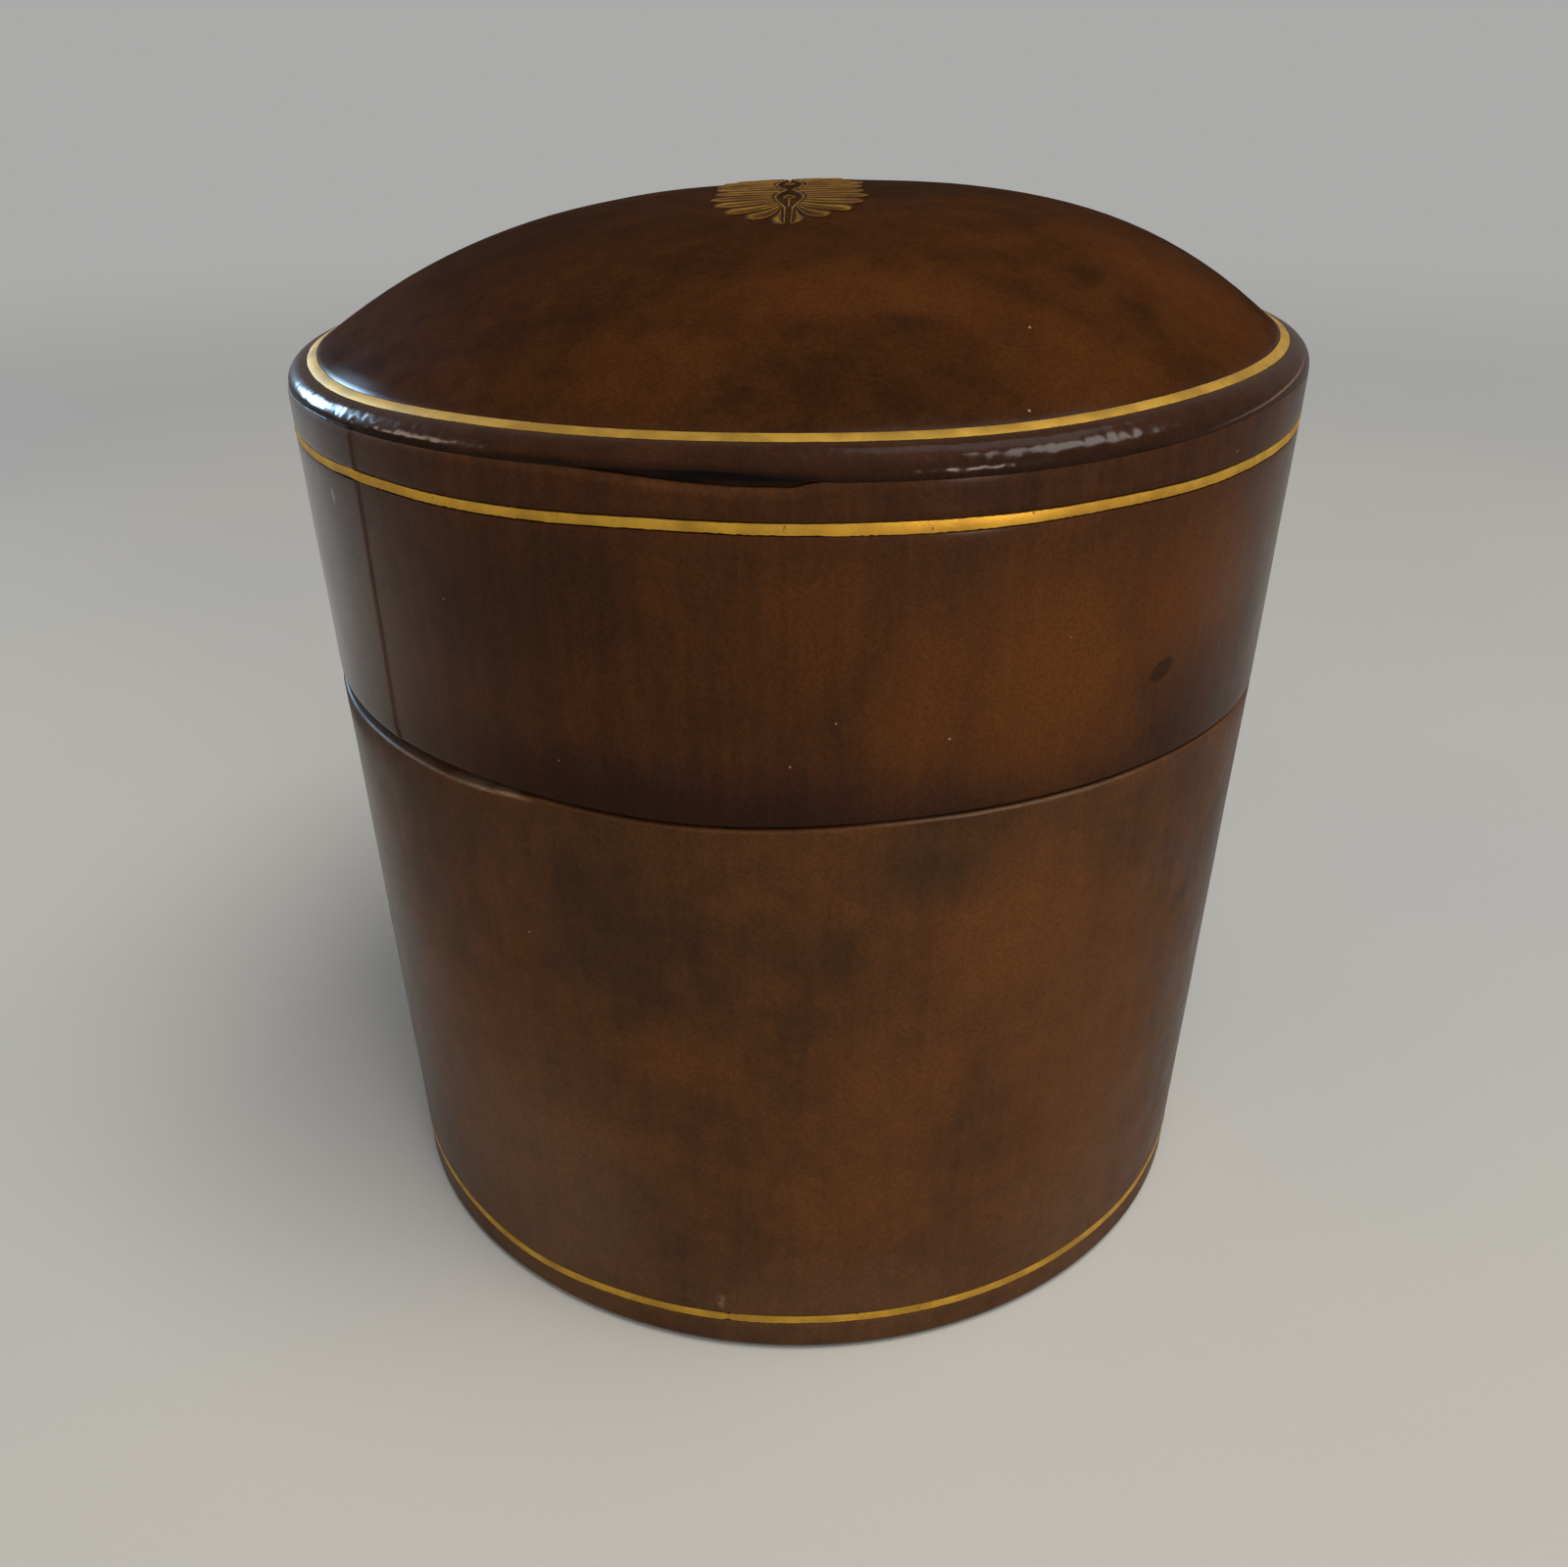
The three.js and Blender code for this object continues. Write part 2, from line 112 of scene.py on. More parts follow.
class Finish:
    """A material and the nodes that make it."""

    def __init__(self, name):
        self.material = bpy.data.materials.new(name)
        self.material.use_nodes = True
        self.tree = self.material.node_tree
        self.tree.nodes.clear()
        self.place = self.node("ShaderNodeTexCoord", output="Object")

    def node(self, kind, inputs=None, output=0, **settings):
        made = self.tree.nodes.new(kind)
        for setting, value in settings.items():
            setattr(made, setting, value)
        for socket, value in (inputs or {}).items():
            if isinstance(value, Wire):
                self.tree.links.new(value.socket, made.inputs[socket])
            elif made.inputs[socket].type == "RGBA":
                made.inputs[socket].default_value = (*value, 1)
            else:
                made.inputs[socket].default_value = value
        return Wire(self, made.outputs[output]) if len(made.outputs) else None

    def vector(self, operation, first, second=None, output=0):
        inputs = {0: first} if second is None else {0: first, 1: second}
        return self.node("ShaderNodeVectorMath", inputs, output, operation=operation)

    def mix(self, factor, first, second, how="MIX"):
        inputs = {0: factor, 6: first, 7: second}
        return self.node("ShaderNodeMix", inputs, output=2, data_type="RGBA", blend_type=how)

    def noise(self, size, place=None, detail=2, roughness=0.5, output=0):
        """Noise whose blotches are about as wide as size."""
        inputs = {"Vector": place or self.place, "Scale": 1 / size, "Detail": detail}
        return self.node("ShaderNodeTexNoise", {**inputs, "Roughness": roughness}, output)

    def drawn(self, *shares):
        """The place drawn out: a share under 1 makes longer what is laid along that axis."""
        return self.vector("MULTIPLY", self.place, shares)

    def bump(self, height, depth, below=None):
        """A bumped normal; height runs from 0 to 1 over a real depth in metres."""
        inputs = {"Height": height, "Distance": depth}
        if below is not None:
            inputs["Normal"] = below
        return self.node("ShaderNodeBump", inputs)

    def surface(self, **inputs):
        """Closes the material with a Principled shader; an underscore stands for a space."""
        named = {key.replace("_", " "): value for key, value in inputs.items()}
        shader = self.node("ShaderNodeBsdfPrincipled", named)
        self.node("ShaderNodeOutputMaterial", {"Surface": shader})
        return self.material


def tone(red, green, blue):
    """A colour as it looks, 0 to 255, made linear."""
    shares = (red / 255, green / 255, blue / 255)
    return tuple(s / 12.92 if s <= 0.04045 else ((s + 0.055) / 1.055) ** 2.4 for s in shares)


table_half_width = 3.2
table_front, table_back = -1.6, 1.4
sweep_radius = 0.6
backdrop_height = 2.6
sweep_steps = 24

table_outline = [(table_front, 0)]
for step in range(sweep_steps + 1):
    angle = math.pi / 2 * step / sweep_steps
    forward, up = sweep_radius * math.sin(angle), sweep_radius * (1 - math.cos(angle))
    table_outline.append((table_back + forward, up))
table_outline.append((table_back + sweep_radius, backdrop_height))
table_shape = bmesh.new()
edges = []
for x in (-table_half_width, table_half_width):
    edges.append([table_shape.verts.new((x, y, z)) for y, z in table_outline])
for near, far, next_near, next_far in zip(*edges, edges[0][1:], edges[1][1:]):
    table_shape.faces.new((near, far, next_far, next_near)).smooth = True
table_data = bpy.data.meshes.new("table")
table_shape.to_mesh(table_data)
table_shape.free()
table = bpy.data.objects.new("table", table_data)
scene.collection.objects.link(table)

table_board = Finish("pale_table_board")
clouds = table_board.noise(0.35, detail=3).rise(0.3, 0.7)
board_tone = table_board.mix(clouds, tone(158, 160, 161), tone(167, 166, 162))
board_shader = table_board.node(
    "ShaderNodeBsdfPrincipled",
    {
        "Base Color": board_tone,
        "Roughness": 0.75,
        "Specular IOR Level": 0.03,
        "Normal": table_board.bump(table_board.noise(0.9 * mm), 0.05 * mm),
    },
)
# Far from the box the camera and the reflections see the board in its own plain tone, evenly lit
far_off = table_board.vector("LENGTH", table_board.place, output="Value").rise(0.25, 1.1)
path = table_board.node("ShaderNodeLightPath", output="Is Camera Ray")
seen = path.sum("MAXIMUM", path, path.beside("Is Glossy Ray"))
seen = path.sum("MAXIMUM", seen, path.beside("Is Transmission Ray"))
even_light = table_board.node("ShaderNodeEmission", {"Color": tone(171, 171, 170), "Strength": 1})
mixed = table_board.node("ShaderNodeMixShader", {0: far_off * seen, 1: board_shader, 2: even_light})
table_board.node("ShaderNodeOutputMaterial", {"Surface": mixed})
table_data.materials.append(table_board.material)

world = bpy.data.worlds.new("studio")
world.use_nodes = True
sky = world.node_tree.nodes["Background"].inputs
sky["Color"].default_value = (0.96, 0.98, 1, 1)
sky["Strength"].default_value = 0.3
scene.world = world


def lamp(name, place, size, power, colour, lights=True, shows=True):
    """A square soft lamp aimed at the middle of the box. It lights the box, shows in it as a
    reflection, or does both."""
    light = bpy.data.lights.new(name, "AREA")
    light.size = size
    light.energy = power
    light.color = colour
    standing = bpy.data.objects.new(name, light)
    aim = Vector((0, 0, 70 * mm)) - Vector(place)
    standing.matrix_world = Matrix.Translation(place) @ aim.to_track_quat("-Z", "Y").to_matrix().to_4x4()
    standing.visible_camera = False
    standing.visible_diffuse = lights
    standing.visible_glossy = shows
    scene.collection.objects.link(standing)


lamp("overhead_lamp", (0.42, -0.42, 1.6), 1.0, 30, (1, 0.94, 0.86), shows=False)
lamp("front_fill", (0.1, -0.95, 0.75), 0.8, 5, (1, 0.95, 0.9), shows=False)
lamp("window_card", (-0.74, 0.64, 0.4), 0.26, 14, (0.45, 0.72, 1), lights=False)
lamp("left_card", (-1.0, 0, 0.52), 0.32, 6, (1, 0.8, 0.65), lights=False)
lamp("ceiling_card", (0.33, 0.08, 0.95), 0.5, 2.5, (0.85, 0.92, 1), lights=False)
lamp("right_card", (0.74, -0.34, 0.76), 0.45, 12, (1, 0.98, 0.95), lights=False)
lamp("front_card", (0.62, -0.85, 0.1), 0.16, 5, (1, 0.8, 0.65), lights=False)


# Boards inside the body
# A round base and a straight wall of fine pale wood, turned, and glued together. The leather hides
# them for good, so the base keeps the frame's own solid. The wall's upper edge isn't quite level.
leather = 1.1 * mm
glue = 0.25 * mm
board_depth = leather + glue
gilt_proud = 0.05 * mm
lap_step = 0.22  # degrees over which the raised end of a leather steps down

foot_line, skirt_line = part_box("gilt_line_foot"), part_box("gilt_line_skirt")
body_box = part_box("body_leather")
rim_height = body_box[1][2]
neck_radius = -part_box("neck_hoop")[0][1]
base_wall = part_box("body_wall")
# Each wave is (millimetres, azimuth of its middle, half its width in degrees)
mouth_waves = ((-0.9, -10, 22), (-0.9, 66, 20))
mouth_gap = 0.1 * mm
rim_worn = 1.3 * mm  # how low the rim is worn at the left, between these azimuths
worn_right, worn_left = (-25, -38), (-115, -95)


def wood(name):
    finish = Finish(name)
    along = finish.drawn(1, 1, 0.1)
    growth = finish.noise(5 * mm, along, detail=4)
    pores = finish.noise(0.5 * mm, along)
    colour = finish.mix(growth.rise(0.3, 0.7), tone(196, 162, 118), tone(160, 122, 80))
    colour = finish.mix(pores.rise(0.55, 0.7) * 0.4, colour, tone(110, 80, 50))
    return finish.surface(
        Base_Color=colour, Roughness=0.75, Specular_IOR_Level=0.2, Normal=finish.bump(pores, 0.04 * mm)
    )


def face_radius(height):
    """The leather's face: one straight taper through body and skirt, as the two lines show it."""
    share = (height - foot_line[1][2]) / (skirt_line[1][2] - foot_line[1][2])
    return share * (foot_line[0][1] - skirt_line[0][1]) - foot_line[0][1] - gilt_proud


def at(radius, azimuth, height):
    angle = math.radians(azimuth)
    return Vector((radius * math.sin(angle), -radius * math.cos(angle), height))


def uneven(azimuth, height, size, amount):
    """How far a surface laid by hand stands in or out, in swells about as wide as size."""
    return amount * noise.noise(at(neck_radius, azimuth, height) / size)


def around(count, seam=None):
    """Azimuths in degrees, evenly spaced, with two more at a seam."""
    steps = [360 * i / count - 180 for i in range(count)]
    if seam is not None:
        steps = [a for a in steps if not 0 < (a - seam + lap_step) % 360 < 2 * lap_step]
        steps += [(seam + 180) % 360 - 180, (seam + lap_step + 180) % 360 - 180]
    return sorted(steps)


def apart(azimuth, other):
    return (azimuth - other + 180) % 360 - 180


def hump(azimuth, centre, half):
    """1 at the centre azimuth, falling smoothly to almost nothing past half."""
    return math.exp(-((apart(azimuth, centre) / half) ** 2) * 1.5)


def waves(azimuth, rows):
    """The sum of some waves, in metres."""
    return sum(amount * hump(azimuth, centre, half) for amount, centre, half in rows) * mm


def eased(value, low, high):
    """0 at low, 1 at high and a smooth curve between; low may be the greater."""
    share = min(1, max(0, (value - low) / (high - low)))
    return share * share * (3 - 2 * share)


def skin(shape, rings, spans):
    """Joins each ring of points to the next one with faces."""
    for ring, following in zip(rings, rings[1:]):
        for j in range(spans):
            k = (j + 1) % len(ring)
            shape.faces.new((ring[j], following[j], following[k], ring[k]))


def turn(name, section, steps, carry=lambda spot: spot):
    """A turned piece. section(azimuth) lists its outline there as (radius, height), closed on
    itself or running from axis to axis, and carry moves each finished point."""
    shape = bmesh.new()
    rings = []
    for azimuth in steps:
        places = [at(r, azimuth + sum(swerve), z) for r, z, *swerve in section(azimuth)]
        rings.append([shape.verts.new(carry(place)) for place in places])
    outline = section(0)
    from_axis = outline[0][0] == 0
    skin(shape, rings + rings[:1], len(outline) - from_axis)
    return finished(name, shape)


def finished(name, shape, sharp=35):
    """Closes a mesh, shades it smooth up to sharp edges and links it."""
    bmesh.ops.remove_doubles(shape, verts=shape.verts, dist=mm / 1000)
    bmesh.ops.recalc_face_normals(shape, faces=shape.faces)
    data = bpy.data.meshes.new(name)
    shape.to_mesh(data)
    shape.free()
    data.shade_smooth()
    data.set_sharp_from_angle(angle=math.radians(sharp))
    piece = bpy.data.objects.new(name, data)
    scene.collection.objects.link(piece)
    return piece


neck_depth = face_radius(rim_height) - neck_radius


def mouth_sag(azimuth):
    """The rim and the lid's mouth were cut to each other, and both wave a little off their level."""
    return waves(azimuth, mouth_waves)


def rim_shift(azimuth):
    """The rim follows the mouth closely, and is worn low at the left of the front."""
    worn = rim_worn * eased(azimuth, *worn_right) * eased(azimuth, *worn_left)
    return mouth_sag(azimuth) + mouth_gap - worn


def body_wall_section(azimuth):
    foot, top = base_wall[0][2], base_wall[1][2]
    depths = (neck_depth - glue, board_depth)
    outline = [(face_radius(foot) - depth, foot) for depth in depths]
    return outline + [(face_radius(top) - depth, top + rim_shift(azimuth)) for depth in depths[::-1]]


turned_wood = wood("turned_wood")
base_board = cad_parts["base_board"].data
base_board.materials.clear()
base_board.materials.append(turned_wood)
body_board_wall = turn("body_board_wall", body_wall_section, around(180))
body_board_wall.data.materials.append(turned_wood)
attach(body_board_wall, "body")
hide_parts("body_wall")

# Leather of the body
# Thin brown calf pasted round the wooden body, its pared ends lapped at the back, turned over the
# rim as far as the neck and under the foot as far as the underside disc.
turn_in = 0.8 * mm
line_width = 1.3 * mm
groove_depth = 0.35 * mm
groove_slack = 0.05 * mm
shoulder = 0.12 * mm  # softened edge of a groove
foot_round = 1.2 * mm
edge_round = 0.5 * mm
rim_reach = 9 * mm  # how far below the rim its waves are felt
lap_width = 12 * mm
lap_rise = 0.16 * mm
body_seam = 180
wall_rows = 30
broad_swell, fine_swell = (24 * mm, 0.12 * mm), (7 * mm, 0.03 * mm)
foot_waves = ((0.25, 2, 16), (-0.55, -37, 13), (-0.4, 53, 10))
stray_near, stray_far = 1.2 * mm, 4.4 * mm  # how far from the line its straying is felt

foot_lift = body_box[0][2]
disc_radius = -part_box("underside_disc")[0][1]


def lap(azimuth, seam):
    """How far the upper end of a wrap lifts towards its seam."""
    before = (seam - azimuth) % 360
    return lap_rise * max(0, 1 - math.radians(before) * neck_radius / lap_width)


def spaced(low, high, count):
    return [low + (high - low) * i / count for i in range(count + 1)]


def arc(radius, height, size, first, last, count):
    """Points of an arc about (radius, height), angles in degrees above level."""
    angles = [math.radians(angle) for angle in spaced(first, last, count)]
    return [(radius + size * math.cos(a), height + size * math.sin(a)) for a in angles]


def grooved_rows(low, high, line_height, count):
    """(height, depth) down a wall, with the groove of a gilt line pressed into it."""
    half = line_width / 2 + groove_slack
    rows = [(z, 0) for z in spaced(low, high, count) if abs(z - line_height) > half + 2 * shoulder]
    lip = [(half + shoulder, 0), (half + shoulder / 4, shoulder / 4), (half, shoulder), (half, groove_depth)]
    rows += [(line_height + side * away, depth) for side in (-1, 1) for away, depth in lip]
    lower = sorted([row for row in rows if row[0] < line_height], key=lambda row: (row[0], row[1]))
    upper = sorted([row for row in rows if row[0] > line_height], key=lambda row: (row[0], -row[1]))
    return lower + upper


foot_line_height = (foot_line[0][2] + foot_line[1][2]) / 2
body_rows = grooved_rows(foot_lift + foot_round, rim_height - edge_round, foot_line_height, wall_rows)


def foot_wander(azimuth):
    """How far the gilt line above the foot strays from its level."""
    return waves(azimuth, foot_waves)


def body_section(azimuth):
    lifted = lap(azimuth, body_seam)
    shift = rim_shift(azimuth)
    rim = rim_height + shift
    under = foot_lift + turn_in
    outline = [(disc_radius + glue, foot_lift)]
    foot_radius = face_radius(foot_lift + foot_round) - foot_round
    rounded = arc(foot_radius, foot_lift + foot_round, foot_round, -90, 0, 6)
    outline += [(r + lifted, z) for r, z in rounded[:-1]]
    for height, depth in body_rows:
        swell = uneven(azimuth, height, *broad_swell) + uneven(azimuth, height, *fine_swell)
        settled = height + shift * max(0, 1 - (rim_height - height) / rim_reach)
        settled += foot_wander(azimuth) * eased(abs(height - foot_line_height), stray_far, stray_near)
        outline.append((face_radius(height) - depth + swell + lifted, settled))
    rim_radius = face_radius(rim_height - edge_round) - edge_round
    outline += [(r + lifted, z) for r, z in arc(rim_radius, rim - edge_round, edge_round, 0, 90, 5)[1:]]
    outline += [(neck_radius + glue, rim), (neck_radius + glue, rim - turn_in)]
    outline += [(face_radius(rim_height) - leather, rim - turn_in), (face_radius(under) - leather, under)]
    return outline + [(disc_radius + glue, under)]


body_cover = turn("body_cover", body_section, around(360, body_seam))


def wavered(finish, flat, size, waver):
    """A place laid out flat in two numbers, made to waver a little."""
    shift = finish.noise(size, detail=4, roughness=0.6, output="Color")
    shift = finish.vector("SUBTRACT", shift, (0.5, 0.5, 0.5))
    return finish.vector("ADD", flat, finish.vector("MULTIPLY", shift, (waver, waver, 0)))


def unrolled(finish, waver):
    """The wall laid flat: (azimuth in degrees, height in millimetres)."""
    x = finish.node("ShaderNodeSeparateXYZ", {0: finish.place})
    azimuth = x.sum("ARCTAN2", x, 0 - x.beside("Y")) * math.degrees(1)
    flat = finish.node("ShaderNodeCombineXYZ", {"X": azimuth, "Y": x.beside("Z") * 1000})
    return wavered(finish, flat, 14 * mm, waver)


def spots(finish, flat, rows, edge=0.95):
    """Soft ovals in one mask. Each row is (across, up, half across, half up, strength), and the
    change from 1 to 0 takes up the edge's share of the half width."""
    mask = 0
    for across, up, half_across, half_up, strength in rows:
        away = finish.vector("SUBTRACT", flat, (across, up, 0))
        away = finish.vector("DIVIDE", away, (half_across, half_up, 1))
        one = finish.vector("LENGTH", away, output="Value").rise(1.15, 1.15 - edge) * strength
        mask = one if mask == 0 else mask.sum("MAXIMUM", mask, one)
    return mask


def stained(finish, flat, colour, *layers, edge=0.95):
    """Lays spots of other colours over a colour; each layer is (rows of spots, colour)."""
    for rows, other in layers:
        colour = finish.mix(spots(finish, flat, rows, edge), colour, other)
    return colour


def dyed(finish, dark, light, streaks):
    """Brown dye that took unevenly: broad clouds, blotches, and streaks running up the piece."""
    clouds = finish.noise(26 * mm, detail=3).rise(0.3, 0.7)
    blotches = finish.noise(5 * mm, detail=6, roughness=0.68).rise(0.28, 0.72)
    strands = finish.noise(1.7 * mm, finish.drawn(1, 1, 0.06), detail=5, roughness=0.65).rise(0.25, 0.75)
    share = clouds * (0.45 - streaks / 2) + blotches * (0.55 - streaks / 2) + strands * streaks
    return finish.mix(share, dark, light)


def calf(finish, colour, roughness, sheen, polish, folds=None):
    """Closes a leather: fine grain, pores, tiny pale specks, a dull sheen and a polish that
    varies. Folds are a bump of its own that lies below the grain."""
    grain = finish.noise(0.42 * mm, detail=2)
    pores = finish.node("ShaderNodeTexVoronoi", {"Vector": finish.place, "Scale": 1 / (0.85 * mm)})
    cells = finish.node("ShaderNodeTexVoronoi", {"Vector": finish.place, "Scale": 1 / (6 * mm)})
    for dark in (grain.rise(0.62, 0.38) * 0.35, pores.rise(0.3, 0.05) * 0.25):
        colour = finish.mix(dark, colour, (0.5, 0.45, 0.42), "MULTIPLY")
    chance = finish.node("ShaderNodeSeparateColor", {0: cells.beside("Color")})
    specks = cells.rise(0.034, 0.018) * chance.rise(0.62, 0.64)
    colour = finish.mix(specks * 0.7, colour, tone(150, 122, 96))
    smears = finish.noise(9 * mm, detail=4, roughness=0.6)
    laid = finish.bump(grain + smears.rise(0.2, 0.8) * 2.5, 0.024 * mm, folds)
    return finish.surface(
        Base_Color=colour,
        Roughness=smears.rise(0.3, 0.7) * 0.14 + roughness + grain * 0.06,
        Specular_IOR_Level=sheen,
        Coat_Weight=polish,
        Coat_Roughness=0.18,
        Coat_IOR=1.3,
        Normal=laid,
    )


body_calf = Finish("body_calf")
body_flat = unrolled(body_calf, 9)
# Warm patches: partly uneven dye, partly painted light that brightens the right of the wall where the lamps
# fall.
warm_dye_and_painted_light = [(25, 64, 14, 18, 0.55), (12, 44, 12, 10, 0.4), (-12, 48, 10, 7, 0.35), (-24, 33, 11, 7, 0.35)]
warm_dye_and_painted_light += [(-45, 40, 13, 26, 0.3), (36, 40, 18, 40, 0.45), (8, 28, 12, 14, 0.4)]
dark_clouds = [(-21, 66, 11, 14, 0.42), (-2, 66, 12, 5, 0.2), (15, 76, 10, 7, 0.36), (-42, 76, 16, 9, 0.3)]
dark_clouds += [(-20, 20, 12, 9, 0.15)]
# Pale patches low on the wall: partly rubbed wear, partly a painted reflection of the pale table.
pale_wear_and_painted_reflection = [(-36, 20, 24, 30, 0.36), (4, 8, 30, 12, 0.16), (42, 14, 20, 26, 0.2)]
foot_scuff = [(-8.5, 9.5, 0.5, 2.2, 0.7)]
rim_wear = [(-48, 80.5, 12, 0.2, 0.4), (-36, 80.65, 5, 0.3, 0.7)]
rim_wear += [(-31, 81, 4, 0.35, 0.6), (20, 81.6, 22, 0.2, 0.25)]
body_colour = stained(
    body_calf,
    body_flat,
    dyed(body_calf, tone(54, 35, 20), tone(91, 56, 28), 0.25),
    (warm_dye_and_painted_light, tone(100, 60, 26)),
    (dark_clouds, tone(40, 31, 20)),
    (pale_wear_and_painted_reflection, tone(112, 84, 62)),
    (foot_scuff, tone(120, 92, 66)),
)
body_colour = stained(body_calf, unrolled(body_calf, 0.4), body_colour, (rim_wear, tone(128, 108, 90)))
# Hands have polished the box most at its left, and have dulled the worn part of its rim
handled = [(-70, 45, 32, 60, 0.5), (75, 40, 26, 60, 0.25)]
dulled = [(-50, 81, 60, 5, 1)]
body_polish = spots(body_calf, body_flat, handled) + 0.08
body_polish = body_polish * (1 - spots(body_calf, body_flat, dulled))
body_cover.data.materials.append(calf(body_calf, body_colour, 0.42, 0.05, body_polish))
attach(body_cover, "body")
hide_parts("body_leather")

# Gilt line at the foot
# Gold leaf pressed into a groove with a hot wheel, a finger's width above the table. Its edges are
# a little ragged, and it has a small break where the foot was scuffed.
gilt_depth = 0.25 * mm
gilt_skin = 0.02 * mm  # how far the leaf's edges lie under the leather's face
break_azimuth, break_half, break_pinch = -8.5, 0.35, 0.32 * mm


def ragged(azimuth, seed, amount):
    """How far a gilt line's edge falls short, in metres."""
    coarse = noise.noise(Vector((azimuth * 0.35, seed, 0)))
    fine = noise.noise(Vector((azimuth * 2.6, seed, 5)))
    return amount * max(0, 0.25 + 0.45 * coarse + 0.7 * fine)


def gilt_strip(name, seat, steps, rough_edge, carry=lambda spot: spot):
    """A strip of gold lying in its groove. seat(azimuth) gives its two ends as (radius, height)."""

    def section(azimuth):
        low, high, *swerve = seat(azimuth)
        run = Vector(high) - Vector(low)
        along = run.normalized()
        out = Vector((along.y, -along.x))
        first = Vector(low) + along * ragged(azimuth, 1, rough_edge)
        last = Vector(high) - along * ragged(azimuth, 7, rough_edge / 2)
        lifts = ((first, -gilt_skin), ((first + last) / 2, gilt_proud), (last, -gilt_skin))
        lifts += ((last, -gilt_depth), (first, -gilt_depth))
        return [(*(corner + out * lift), *swerve) for corner, lift in lifts]

    return turn(name, section, steps, carry)


def foot_seat(azimuth):
    pinch = break_pinch * math.exp(-(((azimuth - break_azimuth) / break_half) ** 2))
    low = foot_line_height - line_width / 2 + pinch
    high = foot_line_height + line_width / 2 - pinch
    strayed = foot_wander(azimuth)
    swell = lap(azimuth, body_seam) + uneven(azimuth, foot_line_height, *broad_swell)
    return (face_radius(low) + swell, low + strayed), (face_radius(high) + swell, high + strayed)


foot_gilt = gilt_strip("foot_gilt", foot_seat, around(900, body_seam), 0.14 * mm)


def gold(name, light, dark, rubbed, metallic, relief=None):
    """Gold leaf, patchy and rubbed. Relief names a mask of the mesh, 1 where the leaf stands up; away from it
    the leaf is painted dark as painted shade in its recesses.
    """
    finish = Finish(name)
    patches = finish.noise(5 * mm, detail=4, roughness=0.6).rise(0.35, 0.65)
    scratches = finish.noise(0.35 * mm, detail=3)
    colour = finish.mix(patches, light, dark)
    wear = finish.noise(1.4 * mm, detail=4, roughness=0.7).rise(0.74 - rubbed, 0.8 - rubbed)
    colour = finish.mix(wear * 0.7, colour, tone(96, 62, 30))
    if relief:
        raised = finish.node("ShaderNodeAttribute", output="Fac", attribute_name=relief)
        # Painted shade: the leaf is darkened where it sinks away from its crest.
        colour = finish.mix(raised.rise(0.15, 0.95), tone(50, 31, 12), colour)
    return finish.surface(
        Base_Color=colour,
        Metallic=metallic,
        Roughness=scratches * 0.2 + 0.36 + wear * 0.2,
        Specular_IOR_Level=0,
        Normal=finish.bump(scratches, 0.02 * mm),
    )


line_gold = gold("line_gold", (0.54, 0.31, 0.04), (0.38, 0.21, 0.03), 0.1, 0.55)
foot_gilt.data.materials.append(line_gold)
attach(foot_gilt, "body")
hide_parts("gilt_line_foot")

# Neck
# A hoop of thin board covered in dark leather, glued inside the body and standing up past the rim.
# It draws in a little at its top, where the lid slides over it and has polished it.
neck_board = 1.8 * mm
neck_draft = 0.3 * mm
neck_foot, neck_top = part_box("neck_hoop")[0][2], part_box("neck_hoop")[1][2]
neck_round = 0.6 * mm


def neck_outer(height):
    if height <= rim_height:
        return face_radius(height) - neck_depth
    return neck_radius - neck_draft * (height - rim_height) / (neck_top - rim_height)


def neck_section(azimuth):
    heights = [neck_foot] + spaced(rim_height, neck_top - neck_round, 6)
    outline = [(neck_outer(z) + uneven(azimuth, z, 18 * mm, 0.04 * mm), z) for z in heights]
    top_radius = neck_outer(neck_top)
    outline += arc(top_radius - neck_round, neck_top - neck_round, neck_round, 0, 90, 5)[1:]
    outline += [(top_radius - neck_board, neck_top), (neck_radius - neck_board, rim_height)]
    return outline + [(neck_outer(neck_foot) - neck_board, neck_foot)]


neck_cover = turn("neck_cover", neck_section, around(240))
neck_calf = Finish("neck_calf")
neck_colour = dyed(neck_calf, tone(38, 24, 16), tone(62, 38, 24), 0.35)
neck_rub = neck_calf.node("ShaderNodeSeparateXYZ", {0: neck_calf.place}).beside("Z").rise(95 * mm, 97 * mm)
neck_colour = neck_calf.mix(neck_rub * 0.35, neck_colour, tone(104, 72, 46))
neck_cover.data.materials.append(calf(neck_calf, neck_colour, 0.42, 0.06, 0.06))
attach(neck_cover, "body")
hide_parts("neck_hoop")

# Suede lining of the body
# A strip of brown suede glued round the inside of the neck, from the floor pad to its top edge.
suede = 0.8 * mm
lining_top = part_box("body_lining")[1][2]


def body_suede_section(azimuth):
    behind = glue + neck_board
    heights = spaced(neck_foot, lining_top, 12)
    outline = [(neck_outer(z) - behind, z) for z in heights]
    soft = [(neck_outer(z) - behind - suede + uneven(azimuth, z, 9 * mm, 0.08 * mm), z) for z in heights]
    soft[-1] = (soft[-1][0] + suede / 3, soft[-1][1])
    soft.insert(-1, (soft[-1][0] - suede / 4, lining_top - suede / 2))
    return outline + soft[::-1]


